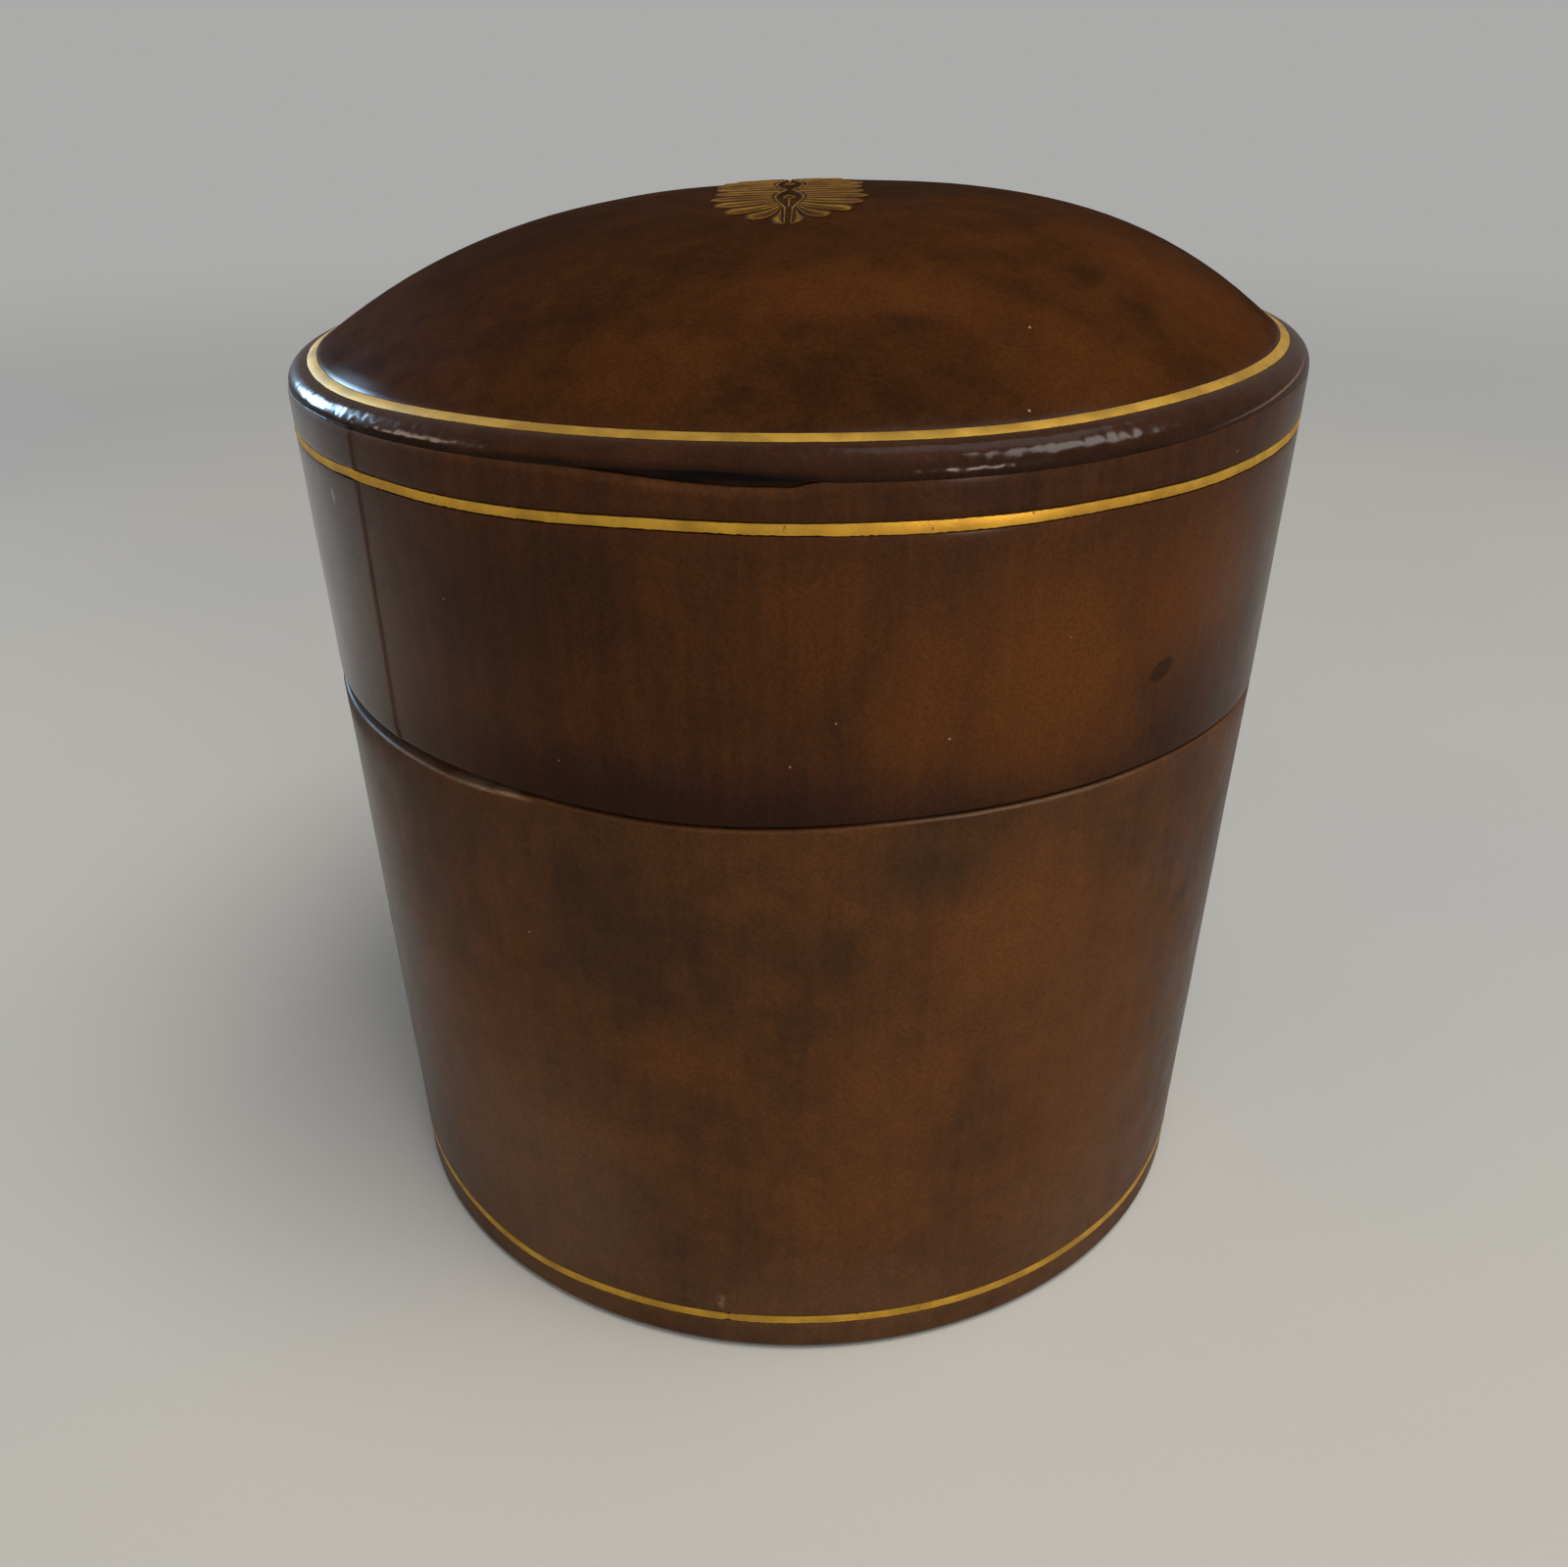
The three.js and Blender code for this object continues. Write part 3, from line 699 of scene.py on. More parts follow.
def nap(name, dark, light):
    """Suede: a short nap brushed one way and another."""
    finish = Finish(name)
    brushed = finish.noise(11 * mm, detail=4, roughness=0.6).rise(0.35, 0.65)
    hairs = finish.noise(0.3 * mm, finish.drawn(1, 1, 0.5), detail=3)
    colour = finish.mix(brushed, dark, light)
    colour = finish.mix(hairs.rise(0.6, 0.4) * 0.35, colour, (0.55, 0.52, 0.5), "MULTIPLY")
    return finish.surface(
        Base_Color=colour,
        Roughness=0.95,
        Specular_IOR_Level=0.1,
        Sheen_Weight=0.35,
        Sheen_Roughness=0.5,
        Sheen_Tint=(0.62, 0.45, 0.32),
        Normal=finish.bump(hairs, 0.12 * mm),
    )


body_suede = turn("body_suede", body_suede_section, around(240))
suede_nap = nap("brown_suede", tone(84, 56, 38), tone(112, 78, 54))
body_suede.data.materials.append(suede_nap)
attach(body_suede, "body")
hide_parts("body_lining")

# Floor pad
# A disc of card padded with wadding and covered in the same suede, dropped on the base board. It
# is crowned in the middle, and its edge is drawn under with small gathers.
pad_gathers, gather_depth = 46, 0.12 * mm
pad_round = 3.2 * mm


def pad_outline(azimuth, radius, thickness, crown, seed):
    """Half the outline of a round pad lying on its flat side, from the axis out and back."""
    gather = gather_depth * math.cos(math.radians(azimuth) * pad_gathers + uneven(azimuth, 0, 20 * mm, 2))
    outline = [(0, 0), (radius * 0.5, 0), (radius - 1.2 * mm, 0)]
    outline += [(radius - 0.5 * mm, 0.25 * mm), (radius - 0.1 * mm, thickness * 0.3)]
    for step in range(9):
        angle = math.radians(10 * step)
        reach = radius - pad_round + (pad_round + gather) * math.cos(angle)
        outline.append((reach, thickness * (0.42 + 0.4 * math.sin(angle))))
    for step in range(1, 13):
        share = 1 - step / 12
        dimple = uneven(azimuth * (1 - 0.999 * (step == 12)), seed + share * 40 * mm, 16 * mm, 0.18 * mm)
        crowned = (crown + thickness * 0.18) * math.cos(math.pi / 2 * share)
        outline.append((share * (radius - pad_round), thickness * 0.82 + crowned + dimple * share))
    return outline


def pad(name, box, side, thickness, crown, seed, carry=lambda spot: spot):
    """A round pad that fills a box and lies on its low (0) or high (1) side. Its thickness and its
    crown are shares of the box's height."""
    radius, rise = -box[0][1], box[1][2] - box[0][2]

    def section(azimuth):
        outline = pad_outline(azimuth, radius, rise * thickness, rise * crown, seed)
        return [(r, box[side][2] + (1 - 2 * side) * z) for r, z in outline]

    return turn(name, section, around(276), carry)


floor_cushion = pad("floor_cushion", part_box("floor_pad"), 0, 0.74, 0.2, 0)
floor_cushion.data.materials.append(suede_nap)
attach(floor_cushion, "body")
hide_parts("floor_pad")

# Underside disc
# A disc of dark brown bookcloth glued inside the turned-under leather. The box stands on it.
disc_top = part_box("underside_disc")[1][2]
disc_round = 0.2 * mm


def disc_section(azimuth):
    inner = disc_radius - disc_round
    outline = [(disc_radius * i / 6, 0) for i in range(6)] + arc(inner, disc_round, disc_round, -90, 0, 3)
    return outline + [(disc_radius, disc_top - disc_round), (inner, disc_top), (0, disc_top)]


underside_cloth = turn("underside_cloth", disc_section, around(180))
bookcloth = Finish("dark_bookcloth")
spun = {"Vector": bookcloth.place, "Scale": 420, "Distortion": 0.6}
threads, crossings = (bookcloth.node("ShaderNodeTexWave", spun, bands_direction=axis) for axis in "XY")
weave = threads.sum("MAXIMUM", threads, crossings)
cloth_share = weave * 0.6 + bookcloth.noise(8 * mm) * 0.4
bookcloth.surface(
    Base_Color=bookcloth.mix(cloth_share, tone(30, 19, 13), tone(58, 40, 30)),
    Roughness=0.9,
    Specular_IOR_Level=0.15,
    Normal=bookcloth.bump(weave, 0.08 * mm),
)
underside_cloth.data.materials.append(bookcloth.material)
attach(underside_cloth, "body")
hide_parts("underside_disc")

# Boards inside the lid
# A turned crown board with a rounded edge, let down by a plug into a straight wall of the same
# wood. The crown was turned a shade off centre, so the whole lid leans a little to its left.
lean_height = 40 * mm
lean_right = 1.0 / 65
lean_back = 0.08 / 65
crown_height = 16 * mm
crown_shift = Vector((1.93 * mm, 0.43 * mm, 0))
dome_fullness = 3
dome_line_slope = math.radians(25)
dome_seat_width = 1.54 * mm
bead_radius = 2.8 * mm
bead_undercut = 20
bead_crown = 83.5
lid_board = 2.6 * mm
spigot_depth = 3.2 * mm
crown_sag, sag_from, sag_to = ((-0.5, 20, 22),), 100 * mm, 114 * mm
bead_press, press_from, press_to = ((-0.45, -56, 20),), 119.5 * mm, 123 * mm
mouth_lift = ((0.25, -62, 14),)

cap_low, cap_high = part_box("cap_leather")
wall_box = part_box("lid_wall")
skirt_low, skirt_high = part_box("skirt_leather")
bead_centre = (-cap_low[1] - bead_radius, cap_low[2] + bead_radius * math.sin(math.radians(bead_undercut)))
bead_end = arc(*bead_centre, bead_radius, 0, bead_crown, 1)[1]
dome_edge = bead_end[0] - dome_seat_width
dome_foot = bead_end[1] + dome_seat_width * math.tan(dome_line_slope)
dome_rise = cap_high[2] - dome_foot


def dome_height(radius):
    return dome_foot + dome_rise * (1 - min(1, radius / dome_edge) ** dome_fullness)


def dome_point(radius, depth):
    """A point the given depth under the dome's face, square to it."""
    slope = dome_rise * dome_fullness / dome_edge * (radius / dome_edge) ** (dome_fullness - 1)
    steep = math.hypot(slope, 1)
    return radius - depth * slope / steep, dome_height(radius) - depth / steep


def leaning(spot):
    """Carries a point of the lid to where the slight lean puts it. The edge of the crown sags a
    little at the right of the front, and the bead is pressed down at the left."""
    rise = max(0, (spot.z - rim_height) / lean_height)
    crown = max(0, (spot.z - dome_foot) / crown_height)
    lifted = (lean_right * spot.x + lean_back * spot.y) * rise
    azimuth = math.degrees(math.atan2(spot.x, -spot.y))
    sagging = waves(azimuth, crown_sag) * eased(spot.z, sag_from, sag_to)
    pressed = waves(azimuth, bead_press) * eased(spot.z, press_from, press_to)
    near_edge = min(1, spot.xy.length / dome_edge) ** 3
    return spot + Vector((0, 0, lifted + (sagging + pressed) * near_edge)) + crown_shift * crown


def mouth_shift(azimuth):
    """How far the lid's lower edge stands above its level."""
    return waves(azimuth, mouth_waves + mouth_lift) + uneven(azimuth, 0, 30 * mm, 0.05 * mm)


def crown_section(azimuth):
    flange = cap_low[2] + turn_in + glue
    plug = face_radius(flange - spigot_depth) - board_depth - lid_board - glue
    start = math.degrees(math.asin((flange - bead_centre[1]) / (bead_radius - board_depth)))
    outline = [(0, flange - spigot_depth), (plug, flange - spigot_depth), (plug, flange)]
    outline += arc(*bead_centre, bead_radius - board_depth, start, bead_crown, 6)
    outline += [dome_point(dome_edge * (1 - i / 12), board_depth) for i in range(12)]
    return outline + [(0, cap_high[2] - board_depth)]


def lid_wall_section(azimuth):
    low, high = wall_box[0][2], wall_box[1][2]
    ends = ((low, low + mouth_shift(azimuth)), (high, high))
    outside = [(face_radius(z) - board_depth, settled) for z, settled in ends]
    return outside + [(r - lid_board, z) for r, z in outside[::-1]]


crown_board = turn("crown_board", crown_section, around(120), leaning)
lid_board_wall = turn("lid_board_wall", lid_wall_section, around(120), leaning)
for piece, node in ((crown_board, "dome_board"), (lid_board_wall, "lid_wall")):
    piece.data.materials.append(turned_wood)
    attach(piece, "lid")
    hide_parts(node)

# Leather of the lid's wall
# A band of calf pasted round the lid wall and turned in round its lower edge. Its ends lap in a
# fine dark seam at the left of the front, and its pared upper edge laps up over the crown's leather.
skirt_seam = -47.5
seam_slant = -1.0  # degrees from the top of the seam to its foot
seam_reach = 8  # degrees on each side that follow the seam's slant
seam_waver, waver_size = 0.12, 7 * mm
turn_in_height = 8 * mm
crease_reach = 1.1 * mm  # how far from the crease the leather starts to round into it
flap = 0.4 * mm  # pared thickness of the wall's leather where it laps up over the crown's
hair = 0.025 * mm  # clearance between the two leathers
skirt_foot, skirt_top = skirt_low[2], skirt_high[2]
wall_depth = board_depth + lid_board
mouth_radius = face_radius(skirt_foot) - wall_depth - glue - turn_in
skirt_line_height = (skirt_line[0][2] + skirt_line[1][2]) / 2
crease_steps = 6
# In a pair of azimuths a change starts at the first and is complete at the second
crease_base, crease_lift = 0.55 * mm, 0.75 * mm  # the crease above the crown leather's foot
lifted_left, lifted_right = (4, -7), (36, 62)
gape, gape_left, gape_right = 1.25 * mm, (-22, -5), (2.5, -2)
valley, valley_left, valley_turn, valley_waves = 0.07 * mm, 0.15 * mm, (0, -12), ((0.4, -8, 14),)
line_waves, line_drop = ((0.22, -46, 9), (0.22, -13, 10)), 0.48 * mm
drop_near, drop_far = (26, 44), (140, 100)
wander_near, wander_far = 1.5 * mm, 6.5 * mm
skirt_swells = ((26 * mm, 0.14 * mm), (8 * mm, 0.03 * mm))
skirt_rows = grooved_rows(skirt_foot + edge_round, skirt_top - crease_reach, skirt_line_height, wall_rows)


def crease_height(azimuth):
    """Where the crown's leather ends under the bead."""
    lifted = max(eased(azimuth, *lifted_left), eased(azimuth, *lifted_right))
    return cap_low[2] + crease_base + crease_lift * lifted


def skirt_edge(azimuth):
    """Where the wall's leather ends. In front it has shrunk away and leaves a dark opening."""
    opening = gape * eased(azimuth, *gape_left) * eased(azimuth, *gape_right)
    return max(crease_height(azimuth) - opening, cap_low[2]) - hair


def crease(azimuth):
    """How deep the valley under the bead is."""
    return valley + valley_left * eased(azimuth, *valley_turn) + waves(azimuth, valley_waves)


def flap_radius(azimuth):
    """The inner side of the pared upper edge."""
    return face_radius(skirt_top) - crease(azimuth) - flap


def skirt_wander(azimuth):
    """How far the gilt line strays from its level, as the wheel was led by hand."""
    return waves(azimuth, line_waves) - line_drop * eased(azimuth, *drop_near) * eased(azimuth, *drop_far)


def seam_swerve(azimuth, height):
    share = (skirt_top - height) / (skirt_top - skirt_foot)
    wander = seam_waver * noise.noise(Vector((0, 0, height / waver_size)))
    return (seam_slant * (share - 0.5) + wander) * hump(azimuth, skirt_seam, seam_reach)


def skirt_face(azimuth, height):
    """The face's radius, with its swells, its lap and its rounded top edge."""
    swell = sum(uneven(azimuth, height, *row) for row in skirt_swells)
    past = max(0, height - skirt_edge(azimuth) + crease_reach) / crease_reach
    return face_radius(height) + swell + lap(azimuth, skirt_seam) - past ** 2 * crease(azimuth)


def skirt_section(azimuth):
    raised, wander = mouth_shift(azimuth), skirt_wander(azimuth)
    round_top = skirt_foot + edge_round
    outline = [(mouth_radius + edge_round, skirt_foot + raised)]
    rounded = arc(skirt_face(azimuth, round_top) - edge_round, round_top, edge_round, -90, 0, 5)
    outline += [(r, z + raised) for r, z in rounded]
    for height, depth in skirt_rows[1:]:
        settled = height + raised * max(0, 1 - (height - skirt_foot) / rim_reach)
        settled += wander * eased(abs(height - skirt_line_height), wander_far, wander_near)
        outline.append((skirt_face(azimuth, height) - depth, settled, seam_swerve(azimuth, height)))
    edge = skirt_edge(azimuth)
    for step in range(crease_steps + 1):
        height = edge - crease_reach * (1 - step / crease_steps)
        outline.append((skirt_face(azimuth, height), height, seam_swerve(azimuth, height)))
    pared = flap_radius(azimuth)
    outline += [(pared, edge), (pared, skirt_top), (face_radius(skirt_top) - leather, skirt_top)]
    wall_foot, turn_top = wall_box[0][2] - glue, skirt_foot + turn_in_height
    behind = wall_depth + glue
    outline += [(face_radius(wall_foot) - depth, wall_foot + raised) for depth in (leather, behind)]
    inside = face_radius(turn_top) - behind
    return outline + [(inside, turn_top), (inside - turn_in, turn_top), (mouth_radius, round_top + raised)]


skirt_cover = turn("skirt_cover", skirt_section, around(480, skirt_seam), leaning)
skirt_calf = Finish("skirt_calf")
skirt_flat = unrolled(skirt_calf, 7)
skirt_exact = unrolled(skirt_calf, 0.5)
skirt_dark = [(-30, 103, 14, 12, 0.4), (-22, 106, 8, 10, 0.35), (44, 92, 8, 7, 0.2)]
# Warm patches at the right of the wall: partly dye, partly painted light where the lamps fall.
skirt_warm_and_painted_light = [(25, 97, 16, 18, 0.5), (12, 96, 9, 14, 0.35), (2, 104, 8, 12, 0.2), (44, 102, 16, 14, 0.45)]
skirt_hem = [(-12, 82, 42, 8.5, 0.75), (60, 82, 50, 7, 0.4)]
skirt_colour = stained(
    skirt_calf,
    skirt_flat,
    dyed(skirt_calf, tone(46, 28, 17), tone(75, 43, 20), 0.42),
    (skirt_warm_and_painted_light, tone(106, 61, 22)),
    (skirt_dark, tone(36, 26, 18)),
    (skirt_hem, tone(36, 20, 17)),
)


def tilted(finish, flat, centre, degrees):
    """A place laid out flat in two numbers, turned about a centre."""
    settings = {"Vector": flat, "Center": (*centre, 0), "Angle": math.radians(degrees)}
    return finish.node("ShaderNodeVectorRotate", settings, rotation_type="Z_AXIS")


ink_stain = (39.2, 94)
stain_flat = tilted(skirt_calf, skirt_exact, ink_stain, -24)
stain_spot = [(*ink_stain, 1.9, 1.25, 0.7)]
skirt_colour = stained(skirt_calf, stain_flat, skirt_colour, (stain_spot, tone(32, 19, 11)), edge=0.4)
skirt_scuffs = [(-54, 110.5, 0.6, 1.2, 0.7), (-60, 104, 0.35, 3, 0.3)]
seam_line = [(skirt_seam + 0.15, 100, 0.16, 24, 0.45)]
skirt_colour = stained(
    skirt_calf,
    skirt_exact,
    skirt_colour,
    (skirt_scuffs, tone(150, 136, 124)),
    (seam_line, tone(20, 12, 8)),
)
skirt_polish = spots(skirt_calf, skirt_flat, [(-66, 102, 42, 36, 0.9), (70, 100, 30, 40, 0.4)]) + 0.1
skirt_cover.data.materials.append(calf(skirt_calf, skirt_colour, 0.42, 0.03, skirt_polish))
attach(skirt_cover, "lid")
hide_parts("skirt_leather")

# Leather of the crown
# One round of calf drawn wet over the crown board and its bead, and tucked into the crease above
# the lid's wall. Drawing it in left fine upright pleats in the bead, which is well polished.
bead_steps = 18
dome_rows = 26


def pleats(azimuth, share):
    """Upright wrinkles of the bead, finest low down, strongest where most leather was gathered."""
    gathered = 0.3 + hump(azimuth, 24, 24) + 0.9 * hump(azimuth, -42, 18)
    drift = 0.6 * noise.noise(Vector((azimuth * 0.12, 3, 0)))
    fine = noise.noise(Vector((azimuth * 1.15, share * 3 + drift, 0)))
    coarse = noise.noise(Vector((azimuth * 0.4, share * 1.5, 9)))
    fade = math.sin(math.pi * min(1, share * 1.02) ** 0.6) ** 0.7
    return (0.06 * fine + 0.05 * coarse) * mm * gathered * fade


def cap_outline(azimuth):
    """The outer face from the crease, over the bead and the gilt line's groove, to the axis."""
    edge = crease_height(azimuth)
    first = math.degrees(math.asin((edge - bead_centre[1]) / bead_radius))
    under_flap = flap_radius(azimuth) - hair
    outline = [(under_flap, cap_low[2]), (under_flap, edge)]
    bead = arc(*bead_centre, bead_radius, first, bead_crown, bead_steps)
    for step, (radius, height) in enumerate(bead):
        share = step / bead_steps
        tuck = crease(azimuth) * max(0, 1 - (height - edge) / crease_reach) ** 2
        angle = math.radians(first + (bead_crown - first) * share)
        wrinkle = pleats(azimuth, share)
        outline.append((radius - tuck + wrinkle * math.cos(angle), height + wrinkle * math.sin(angle)))
    low, high = Vector(bead_end), Vector((dome_edge, dome_foot))
    along = (high - low).normalized()
    inward = Vector((-along.y, along.x))
    lip = [(0, 0), (shoulder, shoulder / 4), (1.25 * shoulder, shoulder), (1.25 * shoulder, groove_depth)]
    outline += [tuple(low + along * run + inward * depth) for run, depth in lip[1:]]
    outline += [tuple(high - along * run + inward * depth) for run, depth in lip[::-1]]
    for row in range(1, dome_rows):
        radius = dome_edge * (1 - row / dome_rows)
        swell = uneven(azimuth, 140 * mm - radius, 22 * mm, 0.1 * mm) * min(1, 4 * radius / dome_edge)
        outline.append(dome_point(radius, -swell))
    return outline + [(0, cap_high[2])]


def cap_section(azimuth):
    turned_top = cap_low[2] + turn_in
    inner_bead = bead_radius - leather
    start = math.degrees(math.asin((turned_top - bead_centre[1]) / inner_bead))
    outline = [(0, cap_high[2] - leather)] + [dome_point(dome_edge * i / 12, leather) for i in range(1, 13)]
    outline += arc(*bead_centre, inner_bead, bead_crown, start, 6)
    wall_inside = face_radius(skirt_top) - wall_depth
    outline += [(wall_inside, turned_top), (wall_inside, cap_low[2])]
    return outline + cap_outline(azimuth)


cap_cover = turn("cap_cover", cap_section, around(1080), leaning)
cap_calf = Finish("cap_calf")
cap_x = cap_calf.node("ShaderNodeSeparateXYZ", {0: cap_calf.place})  # its first output is X
cap_plan = cap_calf.node("ShaderNodeCombineXYZ", {"X": cap_x * 1000, "Y": cap_x.beside("Y") * 1000})
cap_radius = cap_calf.vector("LENGTH", cap_plan, output="Value")
cap_warm = [(8, -44, 20, 7, 0.3), (30, -50, 14, 9, 0.3), (44, -22, 16, 20, 0.35), (-14, -52, 12, 6, 0.2)]
# The small dark spots are the leather's own; the broad dark patches on the top and back of the dome are
# painted shade.
cap_spots_and_painted_shade = [(31, -33, 3, 2.5, 0.5), (37.5, -37.5, 3, 2, 0.5), (11, -48.5, 3, 1.6, 0.5), (1, -50, 4, 1.4, 0.3)]
cap_spots_and_painted_shade += [(-29, -42, 7, 5, 0.35), (-22, -34, 6, 4, 0.3), (24, -40, 4, 3, 0.25), (-34, -8, 24, 30, 0.6)]
cap_spots_and_painted_shade += [(8, 4, 44, 26, 0.6), (-18, -20, 18, 20, 0.5), (42, -2, 24, 22, 0.55)]
cap_colour = stained(
    cap_calf,
    wavered(cap_calf, cap_plan, 12 * mm, 8),
    dyed(cap_calf, tone(35, 20, 10), tone(62, 35, 15), 0.1),
    (cap_warm, tone(82, 46, 20)),
    (cap_spots_and_painted_shade, tone(34, 21, 12)),
)
on_bead = cap_radius.rise(60.6, 61.6)
bead_tone = cap_calf.mix(cap_calf.noise(5 * mm, detail=3), tone(34, 19, 10), tone(54, 31, 18))
cap_colour = cap_calf.mix(on_bead * 0.75, cap_colour, bead_tone)
cap_around = unrolled(cap_calf, 2)
cap_exact = unrolled(cap_calf, 0.3)
# Painted shade: the crease under the bead is darkened nearly to black, most at the front where it opens.
crease_painted_shade = [(-60, 119.4, 16, 1.1, 0.8), (-40, 119.6, 16, 1, 0.7), (-23, 119.9, 11, 0.8, 0.6)]
crease_painted_shade += [(-7, 119.4, 13, 1, 0.95), (20, 119.3, 22, 0.7, 0.2), (32, 119.6, 5, 0.8, 0.5)]
cap_colour = stained(cap_calf, cap_around, cap_colour, (crease_painted_shade, tone(15, 8, 5)))
# Painted highlight: two pale hairlines laid slanting along the bead's lower edge at the right.
highlight_flat = tilted(cap_calf, cap_exact, (54, 121.4), -4.8)
crease_painted_highlight = [(56, 121.45, 16, 0.17, 0.5), (58, 120.4, 16, 0.13, 0.25)]
cap_colour = stained(cap_calf, highlight_flat, cap_colour, (crease_painted_highlight, tone(140, 112, 88)))
# The bead is polished, and the dome only where it rounds up to its gilt line
polish = on_bead * 0.32 + cap_radius.rise(59.2, 60.8) * 0.03
gathers = cap_calf.noise(0.6, cap_calf.vector("MULTIPLY", cap_exact, (1.13, 0.25, 0)), detail=3)
gathered = [(24, 121, 34, 9, 1), (-42, 121, 26, 9, 1), (-8, 121, 26, 9, 0.4)]
gathered = on_bead * spots(cap_calf, cap_around, gathered)
folds = cap_calf.bump(gathers * gathered, 0.14 * mm)
cap_cover.data.materials.append(calf(cap_calf, cap_colour, 0.5 - on_bead * 0.12, 0.001, polish, folds))
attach(cap_cover, "lid")
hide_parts("cap_leather")

# Gilt lines of the lid
# One runs round the foot of the dome, where the bead ends, and one round the wall just under the
# bead. Both are gold leaf pressed with a hot wheel, like the line at the foot.
dome_line_margin = 0.11  # the line leaves this share of its seat free on each side
wheel_step = 0.12 * mm  # the two ends of the line miss each other by this much at the seam
full_press, full_half, light_press = 10, 14, 0.1 * mm  # it is widest where the wheel bore fully


def dome_seat(azimuth):
    low, high = Vector(bead_end), Vector((dome_edge, dome_foot))
    return low.lerp(high, dome_line_margin), high.lerp(low, dome_line_margin)


def skirt_seat(azimuth):
    step = wheel_step * math.tanh(apart(azimuth, skirt_seam) / 0.4) * hump(azimuth, skirt_seam, 5)
    half = line_width / 2 - light_press * (1 - hump(azimuth, full_press, full_half))
    low, high = skirt_line_height - half, skirt_line_height + half
    strayed = skirt_wander(azimuth) - step
    swerve = seam_swerve(azimuth, skirt_line_height)
    return (skirt_face(azimuth, low), low + strayed), (skirt_face(azimuth, high), high + strayed), swerve


# The dome's line is the same gold as the others, given a darker copy as painted shade on its upturned face.
shaded_dome_gold = gold("shaded_dome_gold", (0.38, 0.22, 0.035), (0.26, 0.15, 0.025), 0.1, 0.5)
dome_gilt = gilt_strip("dome_gilt", dome_seat, around(900), 0.1 * mm, leaning)
skirt_gilt = gilt_strip("skirt_gilt", skirt_seat, around(900, skirt_seam), 0.16 * mm, leaning)
for piece, node, leaf in (
    (dome_gilt, "gilt_line_dome", shaded_dome_gold),
    (skirt_gilt, "gilt_line_skirt", line_gold),
):
    piece.data.materials.append(leaf)
    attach(piece, "lid")
    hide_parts(node)

# Leaf ornament
# A long lozenge of leaves stamped in gold on the crown with a heated brass tool, a little left of
# the middle. The leaves are packed side by side round a split stem, each with a vein, and each end
# of the stem opens round a small ring on a stalk.
ornament_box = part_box("gilt_ornament")
half_length = (ornament_box[1][1] - ornament_box[0][1]) / 2
half_width = (ornament_box[1][0] - ornament_box[0][0]) / 2
ornament_place = Vector((-2.7 * mm, -1.4 * mm))
leaf_thick = 0.24 * mm
leaf_sunk = 0.08 * mm
leaf_gap, vein = 0.3 * mm, 0.26 * mm
leaf_steps = 16
leaf_bulge = 0.16  # how far a leaf's end rounds out, as a share of its edge
leaf_round = 0.78  # where along the leaf its end starts to round
stem_end = 0.7  # where the two halves of the stem meet, as a share of the half length
stem_width = 0.5 * mm
stem_opening = 1.35 * mm
# Leaf tips along and across as shares of the half sizes, from the end to the middle
leaf_tips = [(1.0, 0.05), (0.89, 0.43), (0.76, 0.73), (0.55, 0.91), (0.33, 1.0), (0.11, 0.97)]
end_notch, middle_notch = (0.96, 0.014), (0, 0.87)
notch_share = 0.92  # the notch between two tips lies this share of the way out to them
ornament_shape = bmesh.new()
# raised marks each ribbon's crest; the gold is painted darker away from it as shade.
raised = ornament_shape.verts.layers.float.new("raised")


def on_dome(x, y, lift):
    centred = Vector((x, y)) + ornament_place
    return leaning(Vector((*centred, dome_height(centred.length) + lift)))


def loft(shape, sections, closed=False):
    """Skins a run of ribbon sections, and marks their crest; an open run gets a face at each end."""
    rings = [[shape.verts.new(corner) for corner in section] for section in sections]
    for ring in rings:
        ring[3][raised] = 1
    skin(shape, rings + rings[:1] if closed else rings, len(rings[0]))
    if not closed:
        shape.faces.new(rings[0])
        shape.faces.new(rings[-1][::-1])


def ribbon(inner, outer):
    """The section of a gilt ribbon between two places on the dome, rounded on top."""
    middle = (inner + outer) / 2
    return [
        on_dome(*inner, -leaf_sunk),
        on_dome(*outer, -leaf_sunk),
        on_dome(*outer, leaf_thick / 3),
        on_dome(*middle, leaf_thick),
        on_dome(*inner, leaf_thick / 3),
    ]


def opening(along):
    """Half the gap between the two halves of the stem."""
    share = min(1, along / stem_end)
    return vein / 2 + stem_opening * math.sin(math.pi * share ** 0.85) ** 1.2


def spread(along, across):
    return Vector((across * half_width, along * half_length))


def root_of(along):
    """Where the leaf, or the gap beside it, that ends this far along leaves the stem."""
    share = stem_end * along ** 0.75
    return Vector((opening(share) + stem_width + leaf_gap / 2, share * half_length))


def bent(root, tip, t):
    """A point of the curve that leaves the stem along it and bends out to a tip."""
    run = tip - root
    control = root + Vector((0.3 * run.x, 0.72 * run.y))
    return root * (1 - t) ** 2 + control * 2 * t * (1 - t) + tip * t ** 2


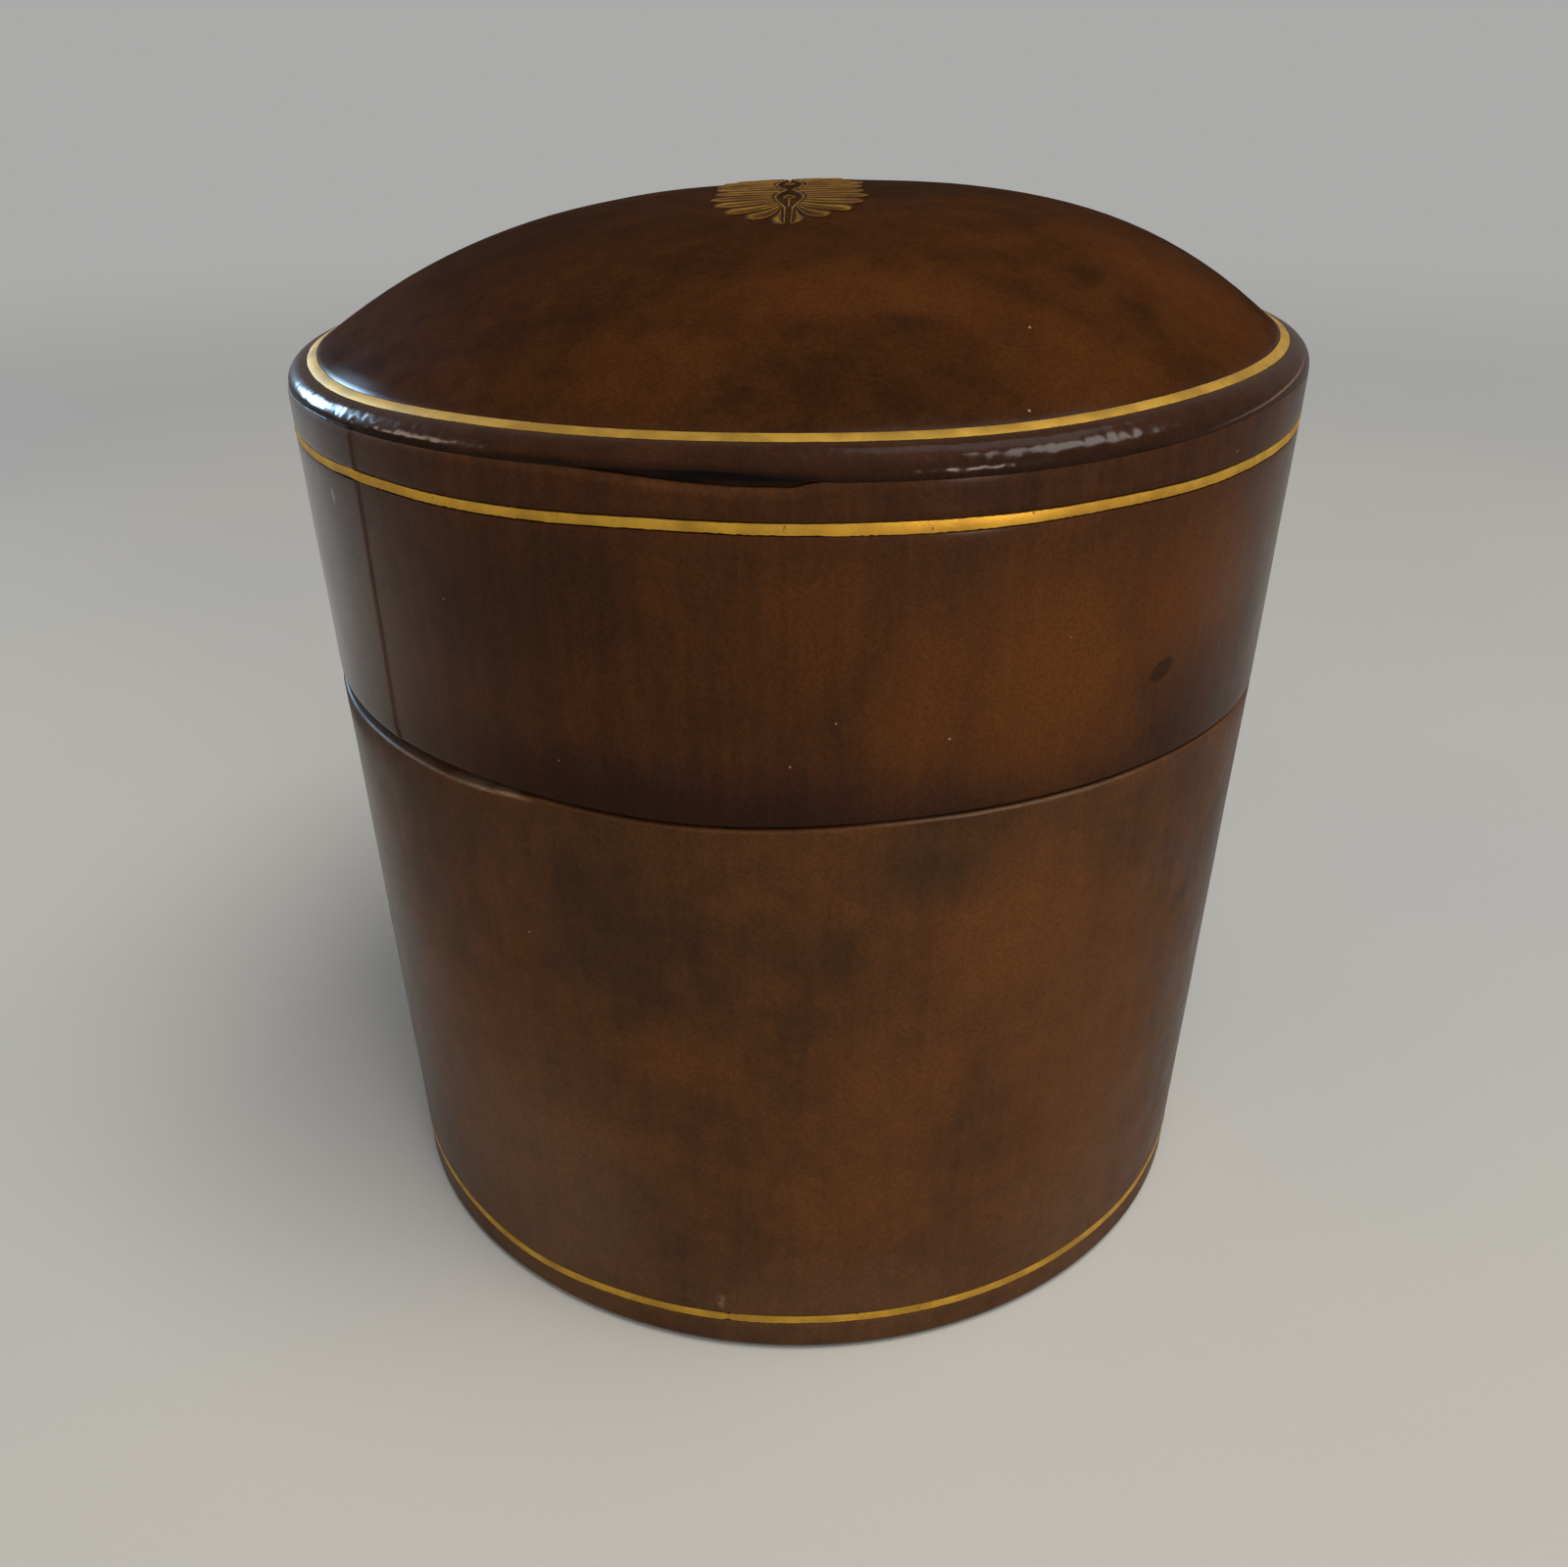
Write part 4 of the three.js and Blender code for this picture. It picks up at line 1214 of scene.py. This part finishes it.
def leaf_half(root, tip, gap_root, notch, turned):
    """The part of a leaf between its vein and the gap beside it; turned carries the quarter
    where both shares are positive to the leaf's own."""
    sections = []
    edge = tip - notch
    outward = Vector((edge.y, -edge.x)) * leaf_bulge
    if outward.dot(tip - root) < 0:
        outward = -outward
    for step in range(leaf_steps + 1):
        t = step / leaf_steps
        middle = bent(root, tip, t)
        if t < leaf_round:
            rim = bent(gap_root, notch, t / leaf_round)
        else:
            past = (t - leaf_round) / (1 - leaf_round)
            rim = notch + edge * past + outward * math.sin(math.pi * past)
        width = max(vein, (rim - middle).length)
        heading = (rim - middle).normalized() if step < leaf_steps else heading
        near = middle + heading * vein / 2 * (1 - t ** 4)
        far = middle + heading * max(0.6 * vein, width - leaf_gap / 2)
        sections.append(ribbon(turned @ near, turned @ far))
    loft(ornament_shape, sections)


notches, gap_roots = [end_notch], [Vector((vein / 2, stem_end * half_length))]
for (along, across), (next_along, next_across) in zip(leaf_tips, leaf_tips[1:]):
    between = (along + next_along) / 2
    notches.append((between * notch_share, (across + next_across) / 2 * notch_share))
    gap_roots.append(root_of(between))
notches.append(middle_notch)
gap_roots.append(root_of(0))

stem_steps, seed_steps, stalk_steps = 30, 28, 6
seed_place = 0.34 * half_length
seed_ring = Vector((0.42, 1.1)) * mm
ring_width = 0.42 * mm
stalk, stalk_reach = 0.24 * mm, 0.94 * stem_end
for end in (-1, 1):
    for side in (-1, 1):
        turned = Matrix(((side, 0), (0, end)))
        for i, tip in enumerate(leaf_tips):
            for j in (i, i + 1):
                leaf_half(root_of(tip[0]), spread(*tip), gap_roots[j], spread(*notches[j]), turned)
        stem = []
        for step in range(stem_steps + 1):
            along = stem_end * step / stem_steps
            inner = Vector((opening(along), along * half_length))
            stem.append(ribbon(turned @ inner, turned @ (inner + Vector((stem_width, 0)))))
        loft(ornament_shape, stem)
    ring, stalks = [], []
    for step in range(seed_steps):
        angle = math.tau * step / seed_steps
        heading = Vector((math.cos(angle), math.sin(angle)))
        inner = Vector((0, seed_place * end)) + heading * seed_ring
        ring.append(ribbon(inner, inner + heading * ring_width))
    loft(ornament_shape, ring, closed=True)
    stalk_start, stalk_end = seed_place + seed_ring.y + ring_width, stalk_reach * half_length
    for step in range(stalk_steps + 1):
        along = end * (stalk_start + (stalk_end - stalk_start) * step / stalk_steps)
        reach = stalk * (1 - step / stalk_steps / 2)
        stalks.append(ribbon(Vector((-reach, along)), Vector((reach, along))))
    loft(ornament_shape, stalks)
leaf_ornament = finished("leaf_ornament", ornament_shape)
stamped_gold = gold("stamped_gold", tone(122, 88, 31), tone(84, 57, 19), 0.16, 0.2, "raised")
leaf_ornament.data.materials.append(stamped_gold)
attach(leaf_ornament, "lid")
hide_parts("gilt_ornament")

# Lining and ceiling pad of the lid
# Inside, the lid is lined with the same suede from the turned-in leather up to its board, and a
# round padded disc covered in suede is glued to the board.
lining = 0.6 * mm
lid_lining_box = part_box("lid_lining")


def lid_suede_section(azimuth):
    behind = wall_depth + glue
    heights = spaced(lid_lining_box[0][2], lid_lining_box[1][2], 8)
    outline = [(face_radius(z) - behind, z) for z in heights]
    soft = [(face_radius(z) - behind - lining + uneven(azimuth, z, 9 * mm, 0.06 * mm), z) for z in heights]
    return outline + soft[::-1]


lid_suede = turn("lid_suede", lid_suede_section, around(240), leaning)
ceiling_cushion = pad("ceiling_cushion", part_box("ceiling_pad"), 1, 0.72, 0.22, 0.3, leaning)
for piece, node in ((lid_suede, "lid_lining"), (ceiling_cushion, "ceiling_pad")):
    piece.data.materials.append(suede_nap)
    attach(piece, "lid")
    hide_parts(node)
